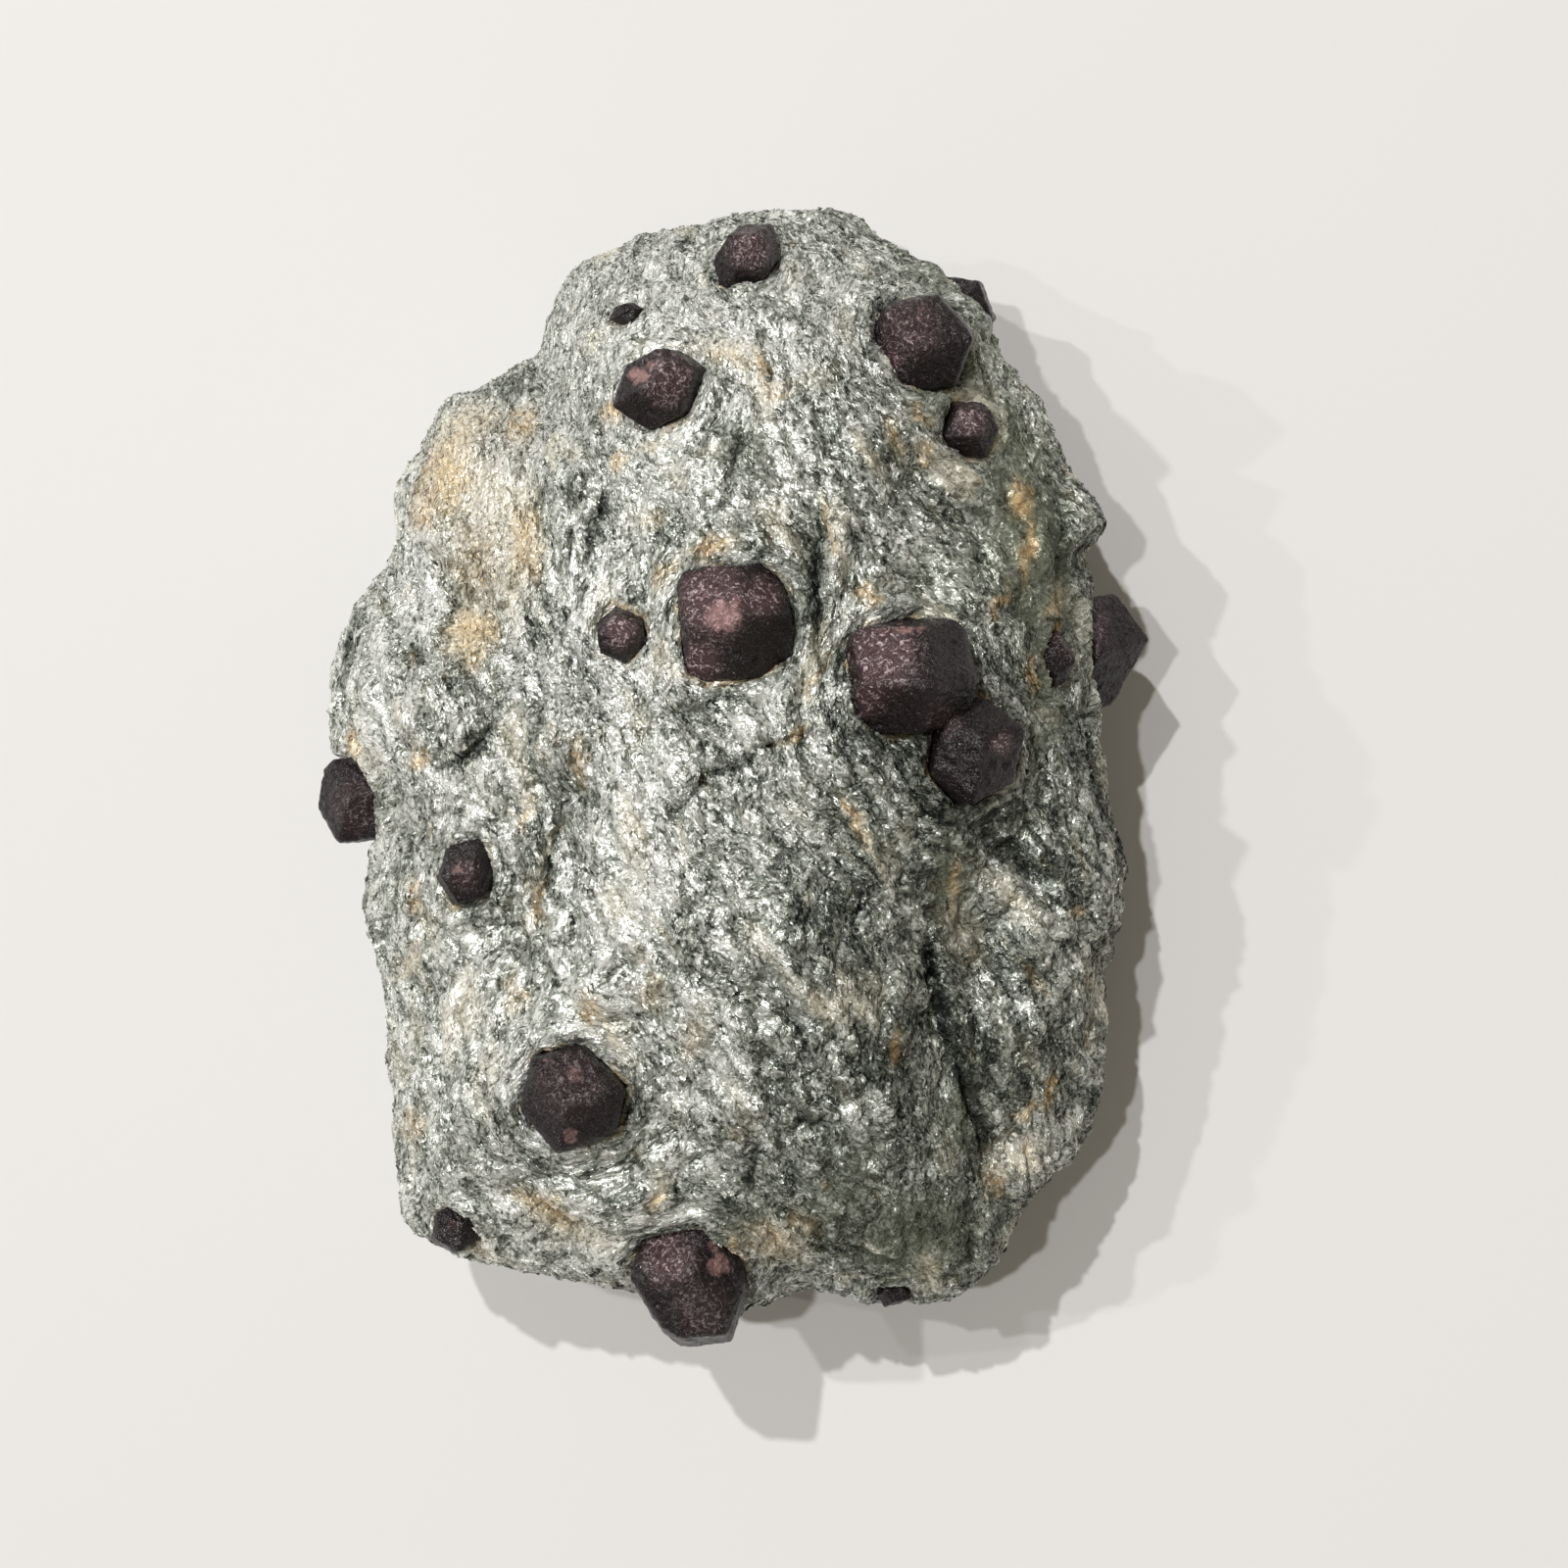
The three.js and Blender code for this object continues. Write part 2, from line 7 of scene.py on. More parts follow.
import bpy
import numpy as np
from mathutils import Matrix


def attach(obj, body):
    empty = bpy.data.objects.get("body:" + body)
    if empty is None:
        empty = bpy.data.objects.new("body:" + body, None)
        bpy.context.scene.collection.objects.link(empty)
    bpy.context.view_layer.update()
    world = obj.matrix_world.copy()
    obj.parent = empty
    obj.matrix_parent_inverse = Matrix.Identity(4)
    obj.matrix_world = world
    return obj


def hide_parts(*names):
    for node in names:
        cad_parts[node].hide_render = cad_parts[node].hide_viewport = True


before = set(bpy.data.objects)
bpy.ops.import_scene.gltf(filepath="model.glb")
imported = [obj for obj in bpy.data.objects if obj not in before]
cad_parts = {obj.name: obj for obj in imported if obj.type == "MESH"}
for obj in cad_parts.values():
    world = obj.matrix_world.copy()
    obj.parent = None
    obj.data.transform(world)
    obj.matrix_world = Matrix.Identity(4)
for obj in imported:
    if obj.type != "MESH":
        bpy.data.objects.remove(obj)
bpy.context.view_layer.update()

# ---- Garnets ----
# Almandine, a hard purple-brown stone. Each crystal is a twelve-sided ball of diamond faces, with
# narrower faces along its edges, that grew in the rock. Its skin is satin, finely pitted and pink
# where it was knocked; its faces that catch the light carry painted glints and painted sheen.

MM = 0.001
LUMP_SHIFT = np.array([-0.203, -0.638, 0.0])   # from the lump's own middle to the frame's origin

# [name, x, y, z of the middle, half width, facing, lean, towards, twist, stretch, along], with
# angles in degrees. Facing says what looks up: a blunt corner, a sharp corner or a face. The
# crystal leans towards one compass way and is stretched along another.
GARNETS = [
    ["garnet_top", 1.8, 67.2, 37, 3.4, "face", 8, 50, 55, 1.2, 55],
    ["garnet_upper_right", 24.2, 56.1, 36.4, 5.9, "blunt", 10, 240, 10, 1.05, 0],
    ["garnet_upper_left", -9.1, 49.4, 46, 4.4, "blunt", 16, 195, 82, 1.15, 34],
    ["garnet_small_upper_right", 30.3, 45.3, 36, 3.1, "face", 10, 120, 120, 1.1, 25],
    ["garnet_upper_right_edge", 29.8, 62.8, 19.5, 4.2, "blunt", 10, 210, 50, 1, 0],
    ["garnet_centre", 0.4, 19.5, 49.4, 6.6, "sharp", 6, 20, 5, 1.12, 95],
    ["garnet_small_centre", -13.8, 18.2, 48.6, 2.7, "blunt", 20, 280, 40, 1.05, 0],
    ["garnet_right_edge", 45.9, 16.3, 19, 6.3, "face", 12, 190, 6, 1.35, 58],
    ["garnet_small_right", 41.7, 15.5, 33.9, 2.2, "face", 15, 0, 85, 1.35, 85],
    ["garnet_left_edge", -49.0, -2.6, 26, 5.2, "blunt", 15, 180, 10, 1.05, 80],
    ["garnet_small_left", -34.2, -11.9, 41.2, 3, "blunt", 15, 20, 70, 1.25, 80],
    ["garnet_lower_left", -20.2, -40.2, 44.2, 6.0, "blunt", 6, 250, 15, 1.04, 120],
    ["garnet_lower_left_corner", -36.4, -58.8, 30, 2.8, "blunt", 20, 40, 30, 1.05, 90],
    ["garnet_bottom_edge", -5.5, -65.4, 31.5, 6.4, "blunt", 15, 95, 66, 1.28, 112],
    ["garnet_tiny_upper_left", -13.8, 60.3, 35.7, 1.3, "face", 5, 0, 20, 1.3, 10],
    ["garnet_tiny_bottom_edge", 21.2, -68, 24, 1.6, "blunt", 40, 270, 0, 1.2, 10],
    ["garnet_right_flank", 44.9, -22.9, 13, 4.2, "blunt", 70, 350, 50, 1.05, 70],
    ["garnet_left_flank", -45.5, 16.6, 12.5, 4.6, "sharp", 75, 160, 20, 1.05, 100],
    ["garnet_bottom_flank", 23.8, -62.1, 12, 3.8, "blunt", 80, 290, 0, 1.05, 0],
    ["garnet_top_flank", -9.1, 64.8, 12.5, 4.2, "face", 80, 100, 30, 1, 0],
]
# The two halves of the pair that grew into each other.
GARNET_PAIR = [
    ["left half", 22.3, 12.8, 49, 6.8, "sharp", 17, 325, 4, 1.12, 5],
    ["right half", 30.3, 3.5, 45, 5.6, "blunt", 13, 10, 22, 1.1, 70],
]
SHARP_EDGED = ["garnet_right_edge"]   # a large crystal that kept its edges
BEVEL = 1.12                # a bevel face's distance, in half widths
WORN_CORNER = 1.32          # a worn sharp corner's distance, in half widths
BEVELLED_FROM = 4.4         # crystals at least this half width show bevels and worn corners
GROWTH_SPREAD = 0.09        # how unevenly the faces grew
WORN_EDGES = 100            # power of the soft minimum over the faces: higher is crisper
CRISP_EDGES = 160
SKIN_CELLS = [[5, 48], [2.5, 30], [0, 14]]   # over this half width, cells along a side of the grid

# The skin's relief: [height, reach] of each layer in millimetres.
SKIN_SWELL = [0.16, 3.4]
SKIN_HILLOCKS = [0.15, 1.5]
SKIN_GRAIN = [0.12, 0.7]
SKIN_PITS = [0.6, 1.2]
PITTED_FROM = 0.42          # the level of noise above which the skin is pitted
SCUFF_DEPTH = 0.12          # how far a scuff is worn down
RAGGED = [0.5, 1.1]         # how far, and over what reach, the edges of scuffs and of painted glint patches stray

# Scuffs: [x, y, reach, strength] where a garnet's top is abraded pink.
SCUFFS = [
    [-0.9, 20.0, 2.6, 0.9], [0.6, 21.6, 1.4, 0.6], [-3.6, 22.6, 1.3, 0.5],
    [21.4, 18.9, 1.3, 1.0], [23.6, 19.2, 1.1, 0.9], [18.8, 18.2, 0.8, 0.5],
    [-11.8, 50.7, 1.4, 1.0], [-10.2, 51.9, 0.9, 0.8],
    [-23.6, -34.4, 1.0, 0.7], [-19.9, -37.0, 1.1, 0.6], [-20.4, -44.6, 1.2, 0.8],
    [-1.9, -62.8, 1.6, 0.9], [-2.6, -60.4, 1.0, 0.7], [-6.5, -63.0, 1.2, 0.4],
    [24.0, 60.0, 1.6, 0.35], [26.5, 9.8, 1.8, 0.3], [-34.9, -11.4, 0.8, 0.6],
    [-36.6, -58.2, 1.0, 0.5], [0.6, 70.0, 1.4, 0.4],
]

# Painted glints and sheen: [x, y, reach, strength] where a face that catches the light gets pale curls
# along its wrinkles over a lighter ground.
PAINTED_GLINT_SPOTS = [
    [18.6, 15.6, 4.6, 1.0], [16.6, 10.6, 2.6, 0.8], [-2.4, 22.4, 4.8, 1.0], [3.6, 22.6, 2.6, 1.0],
    [-3.8, 14.8, 2.4, 0.9], [26.6, 7.6, 2.4, 0.3], [34.0, 4.4, 1.4, 0.9], [22.6, 57.8, 4.0, 0.5],
    [20.2, 53.6, 1.6, 0.9], [-8.0, 50.2, 3.4, 0.7], [2.2, 68.4, 3.0, 0.7], [30.6, 46.2, 2.2, 0.8],
    [-20.4, -38.0, 4.4, 0.3], [-8.4, -61.8, 3.6, 0.8], [-4.0, -68.0, 3.6, 0.3],
    [-34.2, -11.9, 2.0, 0.5],
    [45.0, 20.6, 4.2, 0.85], [-49.8, -3.4, 3.4, 0.3], [-13.8, 18.6, 2.2, 1.0],
]

# Almandine's colours: its own, the painted sheen and painted glints of its lit faces, and its scuffed pink.
GARNET_DARK = "#060305"
GARNET_BROWN = "#1a0e13"
PAINTED_SHEEN_GROUND = "#64474a"
PAINTED_GLINT_CURLS = "#d2bdc0"
SCUFFED_PINK = "#b88e8b"
ALMANDINE_IOR = 1.79
ALMANDINE_SHEEN = 0.22      # how strongly the satin skin reflects, as a specular level

# Patterns of the skin's finish: how many go to a metre, and the two reliefs' depths in metres.
ZONES_TO_A_METRE = 330
WRINKLES_TO_A_METRE = 800
SPECKLES_TO_A_METRE = 2400
SPECKLE_DEPTH = 0.00025
SKIN_WRINKLE_DEPTH = 0.00035
GLINT_CURL_LEVEL = 0.52           # painted glint curls follow the wrinkles' line at this level
GLINT_CURL_WIDTH = 0.05           # and fade out this far off the level
GLINT_CURLS_OFF_LIT_FACES = 0.03      # how much of the painted glint curls shows off the faces marked lit
# How much of a lit face the painted sheen ground covers.
PAINTED_SHEEN_SHARE = 0.45
SATIN = [0.36, 0.1]         # roughness in the speckles' pits and on their crests

# What looks up for each facing, and what then looks to the side, as directions in the crystal.
FACINGS = {
    "blunt": [[1, 1, 1], [1, 0, 0]],
    "sharp": [[0, 0, 1], [1, 1, 1]],
    "face": [[1, 1, 0], [0, 0, 1]],
}


def unit(vectors):
    """Vectors over their lengths."""
    return vectors / np.linalg.norm(vectors, axis=-1, keepdims=True)


def face_normals(pattern):
    """Every order and sign of one pattern of three numbers, each once, as unit rows."""
    rows = {}
    for order in [[0, 1, 2], [1, 2, 0], [2, 0, 1], [0, 2, 1], [1, 0, 2], [2, 1, 0]]:
        for signs in range(8):
            row = tuple(pattern[k] * (-1 if signs >> axis & 1 else 1) for axis, k in enumerate(order))
            rows[row] = row
    return unit(np.array(list(rows), float))


def crystal_turn(facing, lean, towards, twist):
    """Turns the named part of a crystal up, twists it about Z and leans it towards a compass way."""
    up, side = unit(np.array(FACINGS[facing], float))
    across = unit(np.cross(up, side))
    upright = np.array([np.cross(across, up), across, up])
    lean, towards, twist = np.radians([lean, towards, twist])
    twisted = np.array([
        [math.cos(twist), -math.sin(twist), 0],
        [math.sin(twist), math.cos(twist), 0],
        [0, 0, 1],
    ])
    hinge = np.array([-math.sin(towards), math.cos(towards), 0])
    cross = np.cross(np.eye(3), hinge)
    leaned = np.eye(3) + math.sin(lean) * cross + (1 - math.cos(lean)) * cross @ cross
    return leaned @ twisted @ upright


def crystal_faces(row, crystal):
    """The crystal's face planes: unit normals and distances from its middle, in millimetres.

    A face's distance is the half width times its form's factor times its own growth, which is a
    fixed fraction of a large sine. Stretching a body by a matrix turns normals by its inverse
    transpose.
    """
    name, _, _, _, size, facing, lean, towards, twist, stretch, along = row
    forms = [([1, 1, 0], 1.0)]
    if size >= BEVELLED_FROM and name not in SHARP_EDGED:
        forms += [([2, 1, 1], BEVEL), ([1, 0, 0], WORN_CORNER)]
    normals = np.concatenate([face_normals(pattern) for pattern, _ in forms])
    factors = np.concatenate([np.full(len(face_normals(p)), factor) for p, factor in forms])
    number = np.arange(len(normals)) + 1
    roll = np.sin(12.9898 * number + 78.233 * (crystal + 1)) * 43758.5453
    grown = 1 + GROWTH_SPREAD * (roll - np.floor(roll) - 0.5)
    ahead = np.array([math.cos(math.radians(along)), math.sin(math.radians(along)), 0])
    body = (np.eye(3) + (stretch - 1) * np.outer(ahead, ahead)) @ crystal_turn(facing, lean, towards, twist)
    normals = normals @ np.linalg.inv(body)
    length = np.linalg.norm(normals, axis=1)
    return normals / length[:, None], size * factors * grown / length


def ball_grid(cells):
    """Directions over a ball, and its quads: six square grids, spread by tan, welded at the seams."""
    spread = np.tan(np.linspace(-math.pi / 4, math.pi / 4, cells + 1))
    u, v = np.meshgrid(spread, spread, indexing="ij")
    corner = np.arange((cells + 1) ** 2).reshape(cells + 1, cells + 1)
    quad = np.stack([corner[:-1, :-1], corner[1:, :-1], corner[1:, 1:], corner[:-1, 1:]], -1)
    points = []
    for axis in range(3):
        for sign in (-1, 1):
            side = np.empty(u.shape + (3,))
            side[..., axis] = sign
            side[..., (axis + 1) % 3] = u * sign
            side[..., (axis + 2) % 3] = v
            points.append(side.reshape(-1, 3))
    points = np.round(np.concatenate(points), 6)
    points, weld = np.unique(points, axis=0, return_inverse=True)
    quads = np.concatenate([quad.reshape(-1, 4) + len(corner) ** 2 * k for k in range(6)])
    return unit(points), weld.reshape(-1)[quads]


def crystal_reach(directions, normals, distances, hardness):
    """Distance to the skin each way: the soft smallest of distance / cosine over the faces."""
    share = np.maximum(directions @ normals.T, 0) / distances
    return np.sum(share ** hardness, axis=1) ** (-1 / hardness)


CORNER_PRIMES = np.array([73856093, 19349663, 83492791])
SEED_PRIME, FIRST_MIX, SECOND_MIX = 2654435761, 2246822519, 3266489917


def lattice_noise(points, seed):
    """Noise from about -1 to 1: a fixed random slope at each whole-number corner, and the slopes'
    heights blended by 6t^5 - 15t^4 + 10t^3 inside each cell.

    A corner's slope is three bytes of a 32-bit number, which the corner and the seed give when they
    are multiplied by large primes and folded over.
    """
    floor = np.floor(points)
    inside = points - floor
    ease = inside ** 3 * (inside * (6 * inside - 15) + 10)
    corner = floor.astype(np.int64)
    total = np.zeros(len(points))
    for step in np.ndindex(2, 2, 2):
        key = (corner + step) @ CORNER_PRIMES + seed * SEED_PRIME
        key = (key ^ (key >> 15)) * FIRST_MIX & 0xFFFFFFFF
        key = (key ^ (key >> 13)) * SECOND_MIX & 0xFFFFFFFF
        slope = ((key[:, None] >> np.array([3, 12, 21])) & 255) / 127.5 - 1
        height = np.sum(slope * (inside - step), axis=1)
        total += height * np.prod(np.where(step, ease, 1 - ease), axis=1)
    return 1.6 * total


def garnet_skin(points, seed):
    """Relief of a crystal's skin in millimetres: slow swells, low hillocks that are folded noise,
    finer grain, and pits where noise passes a level."""
    height, reach = SKIN_SWELL
    relief = height * lattice_noise(points / reach, seed)
    height, reach = SKIN_HILLOCKS
    relief += height * np.abs(lattice_noise(points / reach, seed + 1))
    height, reach = SKIN_GRAIN
    relief += height * lattice_noise(points / reach, seed + 2)
    depth, reach = SKIN_PITS
    pits = np.minimum(0, PITTED_FROM - lattice_noise(points / reach, seed + 3))
    return relief + depth * pits


def spot_field(points, spots):
    """Strength of round spots [x, y, reach, strength] at each point: the strongest bell there,
    its edge broken up by noise."""
    stray, reach = RAGGED
    noise = np.stack([lattice_noise(points / reach, 71), lattice_noise(points / reach, 72)], -1)
    ragged = points[:, :2] + stray * noise
    field = np.zeros(len(points))
    for x, y, reach, strength in spots:
        away = np.hypot(ragged[:, 0] - x, ragged[:, 1] - y) / reach
        field = np.maximum(field, strength * np.exp(-away ** 4))
    return field


def mesh_piece(name, points, faces):
    """A piece with its place in its mesh: points in millimetres, and one row of corners a face."""
    mesh = bpy.data.meshes.new(name)
    mesh.vertices.add(len(points))
    mesh.vertices.foreach_set("co", ((points + LUMP_SHIFT) * MM).astype(np.float32).ravel())
    mesh.loops.add(faces.size)
    mesh.loops.foreach_set("vertex_index", faces.astype(np.int32).ravel())
    mesh.polygons.add(len(faces))
    starts = np.arange(len(faces), dtype=np.int32) * faces.shape[1]
    mesh.polygons.foreach_set("loop_start", starts)
    mesh.update(calc_edges=True)
    mesh.shade_smooth()
    piece = bpy.data.objects.new(name, mesh)
    bpy.context.scene.collection.objects.link(piece)
    return piece


def piece_points(piece):
    """A piece's vertices in millimetres, in the lump's own place."""
    points = np.empty(len(piece.data.vertices) * 3, np.float32)
    piece.data.vertices.foreach_get("co", points)
    return points.reshape(-1, 3).astype(float) / MM - LUMP_SHIFT


def vertex_normals(piece):
    """A piece's vertex normals as an array."""
    normals = np.empty(len(piece.data.vertices) * 3, np.float32)
    piece.data.vertex_normals.foreach_get("vector", normals)
    return normals.reshape(-1, 3).astype(float)


def set_attribute(piece, name, values):
    """Keeps one number, or one vector, for each vertex under a name that the materials read."""
    kind = "FLOAT" if values.ndim == 1 else "FLOAT_VECTOR"
    attribute = piece.data.attributes.new(name, kind, "POINT")
    attribute.data.foreach_set("value" if kind == "FLOAT" else "vector", values.astype(np.float32).ravel())


def garnet_mesh(row, crystal, spare=0.0, detail=1.0):
    """A crystal's closed skin: its middle plus direction times reach, with the skin's relief.

    With something to spare it is the plain form of its socket, larger by that much.
    """
    middle, size = np.array(row[1:4]), row[4]
    cells = next(count for over, count in SKIN_CELLS if size > over)
    directions, quads = ball_grid(int(detail * cells))
    hardness = CRISP_EDGES if row[0] in SHARP_EDGED else WORN_EDGES
    reach = crystal_reach(directions, *crystal_faces(row, crystal), hardness) + spare
    points = middle + directions * reach[:, None]
    if spare == 0:
        worn = spot_field(points, SCUFFS)
        relief = garnet_skin(points, 10 * crystal) - SCUFF_DEPTH * worn
        points = points + directions * relief[:, None]
    return points, quads


def cut_or_join(piece, others, operation):
    """Applies an exact cut or union of other pieces to a piece, and removes the others."""
    tools = bpy.data.collections.new("tools")
    bpy.context.scene.collection.children.link(tools)
    for other in others:
        bpy.context.scene.collection.objects.unlink(other)
        tools.objects.link(other)
    modifier = piece.modifiers.new("cut", "BOOLEAN")
    modifier.operation = operation
    modifier.solver = "MANIFOLD"
    modifier.operand_type = "COLLECTION"
    modifier.collection = tools
    shown = piece.evaluated_get(bpy.context.evaluated_depsgraph_get())
    result = bpy.data.meshes.new_from_object(shown)
    piece.modifiers.clear()
    result.name = piece.name
    result.materials.clear()
    piece.data = result
    for other in others:
        bpy.data.objects.remove(other)
    bpy.data.collections.remove(tools)


def linear(hex_colour):
    """An sRGB hex colour as linear red, green, blue and full alpha."""
    parts = np.array([int(hex_colour[k:k + 2], 16) for k in (1, 3, 5)]) / 255
    return (*np.where(parts <= 0.04045, parts / 12.92, ((parts + 0.055) / 1.055) ** 2.4), 1)


def add_node(tree, kind, inputs=None, **settings):
    """Adds a node, sets its properties, and gives each named input a value or another's output."""
    node = tree.nodes.new(kind)
    for name, value in settings.items():
        setattr(node, name, value)
    for socket, value in (inputs or {}).items():
        if isinstance(value, bpy.types.NodeSocket):
            tree.links.new(value, node.inputs[socket])
        else:
            node.inputs[socket].default_value = value
    return node


def almandine_garnet():
    """Almandine, as it grew in the rock: deep purple-brown glassy stone, which bends light as
    almandine does. Its satin skin is wrinkled, so that the crests glint. Pale curls along the
    wrinkles over a lighter ground are painted glints and sheen on faces that catch the light, and the skin
    is mottled pink where it is scuffed."""
    material = bpy.data.materials.new("almandine_garnet")
    material.use_nodes = True
    tree = material.node_tree
    tree.nodes.clear()
    place = add_node(tree, "ShaderNodeTexCoord").outputs["Object"]
    scuff = add_node(tree, "ShaderNodeAttribute", attribute_name="scuff").outputs["Fac"]
    painted_glints = add_node(tree, "ShaderNodeAttribute", attribute_name="painted_glints").outputs["Fac"]
    # Colour zones 3 mm across, wrinkles 1.2 mm across and speckles 0.4 mm across. The real skin is
    # grained more finely than the speckles, which are as coarse as they need to be to show.
    zones = add_node(tree, "ShaderNodeTexNoise", {
        "Vector": place, "Scale": ZONES_TO_A_METRE, "Detail": 3})
    wrinkles = add_node(tree, "ShaderNodeTexNoise", {
        "Vector": place, "Scale": WRINKLES_TO_A_METRE, "Detail": 2.5, "Roughness": 0.5,
        "Distortion": 0.8})
    speckle = add_node(tree, "ShaderNodeTexNoise", {
        "Vector": place, "Scale": SPECKLES_TO_A_METRE, "Detail": 3, "Roughness": 0.6,
        "Distortion": 0.8})
    body = add_node(tree, "ShaderNodeMix", {
        0: zones.outputs["Fac"], 6: linear(GARNET_DARK), 7: linear(GARNET_BROWN)}, data_type="RGBA")
    # Painted glints: pale curls along a level line of the wrinkles, broken up by the speckles. They
    # crowd together on the faces marked lit, over a ground painted lighter as sheen, and hardly show
    # elsewhere.
    off_line = add_node(tree, "ShaderNodeMath", {
        0: wrinkles.outputs["Fac"], 1: GLINT_CURL_LEVEL}, operation="SUBTRACT")
    away = add_node(tree, "ShaderNodeMath", {0: off_line.outputs[0]}, operation="ABSOLUTE")
    curl = add_node(tree, "ShaderNodeMapRange", {
        "Value": away.outputs[0], "From Max": GLINT_CURL_WIDTH, "To Min": 1.0, "To Max": 0.0})
    broken = add_node(tree, "ShaderNodeMapRange", {
        "Value": speckle.outputs["Fac"], "From Min": 0.44, "From Max": 0.58, "To Max": 1.0})
    glint_curls = add_node(tree, "ShaderNodeMath", {
        0: curl.outputs["Result"], 1: broken.outputs["Result"]}, operation="MULTIPLY")
    crowded = add_node(tree, "ShaderNodeMapRange", {
        "Value": painted_glints, "To Min": GLINT_CURLS_OFF_LIT_FACES, "To Max": 1.0})
    shown = add_node(tree, "ShaderNodeMath", {
        0: glint_curls.outputs[0], 1: crowded.outputs["Result"]}, operation="MULTIPLY")
    ground = add_node(tree, "ShaderNodeMath", {0: painted_glints, 1: PAINTED_SHEEN_SHARE}, operation="MULTIPLY")
    sheen_and_glints = add_node(tree, "ShaderNodeMix", {
        0: ground.outputs[0], 6: body.outputs[2], 7: linear(PAINTED_SHEEN_GROUND)}, data_type="RGBA")
    sheen_and_glints = add_node(tree, "ShaderNodeMix", {
        0: shown.outputs[0], 6: sheen_and_glints.outputs[2], 7: linear(PAINTED_GLINT_CURLS)}, data_type="RGBA")
    # A scuff shows pink through the speckles and wrinkles, never as an even wash.
    mottle = add_node(tree, "ShaderNodeMath", {
        0: wrinkles.outputs["Fac"], 1: speckle.outputs["Fac"]}, operation="ADD")
    ragged = add_node(tree, "ShaderNodeMath", {0: mottle.outputs[0], 1: scuff}, operation="ADD")
    pink = add_node(tree, "ShaderNodeMapRange", {
        "Value": ragged.outputs[0], "From Min": 1.4, "From Max": 2.3, "To Max": 0.8})
    colour = add_node(tree, "ShaderNodeMix", {
        0: pink.outputs["Result"], 6: sheen_and_glints.outputs[2], 7: linear(SCUFFED_PINK)}, data_type="RGBA")
    # The speckles are polished on their crests.
    pit_rough, crest_rough = SATIN
    rough = add_node(tree, "ShaderNodeMapRange", {
        "Value": speckle.outputs["Fac"], "From Min": 0.3, "From Max": 0.7,
        "To Min": pit_rough, "To Max": crest_rough})
    fine = add_node(tree, "ShaderNodeBump", {
        "Height": speckle.outputs["Fac"], "Strength": 1.0, "Distance": SPECKLE_DEPTH})
    bump = add_node(tree, "ShaderNodeBump", {
        "Height": wrinkles.outputs["Fac"], "Strength": 1.0, "Distance": SKIN_WRINKLE_DEPTH,
        "Normal": fine.outputs["Normal"]})
    surface = add_node(tree, "ShaderNodeBsdfPrincipled", {
        "Base Color": colour.outputs[2], "Roughness": rough.outputs["Result"], "IOR": ALMANDINE_IOR,
        "Specular IOR Level": ALMANDINE_SHEEN, "Normal": bump.outputs["Normal"]})
    add_node(tree, "ShaderNodeOutputMaterial", {"Surface": surface.outputs["BSDF"]})
    return material


garnet_finish = almandine_garnet()


def finish_garnet(piece, node):
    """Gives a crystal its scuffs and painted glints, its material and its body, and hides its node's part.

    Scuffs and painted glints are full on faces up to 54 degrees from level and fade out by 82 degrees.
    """
    upward = np.clip(2.2 * vertex_normals(piece)[:, 2] - 0.3, 0, 1)
    set_attribute(piece, "scuff", upward * spot_field(piece_points(piece), SCUFFS))
    # Painted glints and sheen, on the faces that catch the light.
    set_attribute(piece, "painted_glints", upward * spot_field(piece_points(piece), PAINTED_GLINT_SPOTS))
    piece.data.materials.append(garnet_finish)
    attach(piece, "root")
    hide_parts(node)


for crystal, row in enumerate(GARNETS):
    finish_garnet(mesh_piece(row[0] + "_stone", *garnet_mesh(row, crystal)), row[0])

pair_halves = [
    mesh_piece(row[0], *garnet_mesh(row, crystal))
    for crystal, row in enumerate(GARNET_PAIR, start=len(GARNETS))]
pair_halves[0].name = "garnet_pair_stone"
cut_or_join(pair_halves[0], pair_halves[1:], "UNION")
finish_garnet(pair_halves[0], "garnet_pair")

# ---- Schist lump ----
# Mica schist: muscovite and chlorite flakes pressed into wavy sheets round the garnets, split by
# hand into a lump with a domed back, broken flanks and a flat face that it rests on. The sheets
# are crinkled along one grain, and fold round each crystal.

RIM_HEIGHT = 21             # height of the lump's widest line above the table
CREST_HEIGHT = 48           # height of the domed back before its lumps and ledges
SHOULDER_POWER = 0.52       # below 1 the back is flat on top and steep at the rim
FOOT_SHARE = 0.73           # the resting face's reach, as a share of the outline
UNDERCUT = (1.5, 0.58)      # powers of the curve from the resting face out to the rim
FOOT_ROUND = (47, 66)       # half width and half length that the foot's outline tends to
FOOT_OVAL = [0.85, 2.5]     # how much of that oval the foot takes on, and the oval's power
FOOT_WAVES = [0.04, 0.03]   # how far the foot's edge wanders, in three waves and in five
FOOT_FADE = 3               # relief and streaks fade in over this height above the table
RIM_LEAN = 1.5              # how much higher the widest line is on the left, and lower on the right
RIM_WAVES = [1.2, 0.8]      # and its waves, two and five to a round
TOP_EDGE = 0.93             # share of the outline where the back passes into the flank
LUMP_MIDDLE = np.array([0, 0, 24])
BREAK_ROUNDING = 0.5        # how softly a broken face turns into its neighbours
RIBS_START = [0.8, 0.2]     # the back's share where ribs begin, and how far on they are full
RIB_RISES = [1.3, 0.9, 0.6]   # broad ribs, narrow ribs, and ledges that run round
FLANK_BELOW = 15            # garnets whose middles are below this height sit in the flanks
MAIN_FACES = 12             # a crystal's first faces, those of the plain ball of diamonds
GRAIN_LEAN = [0.27, 0.17]   # the grain's slope left of straight up: its mean, and its change
GRAIN_WANDER = [1.6, 13]    # how far the grain's lines stray, and over what reach
FINE_WANDER = [0.5, 4.5]
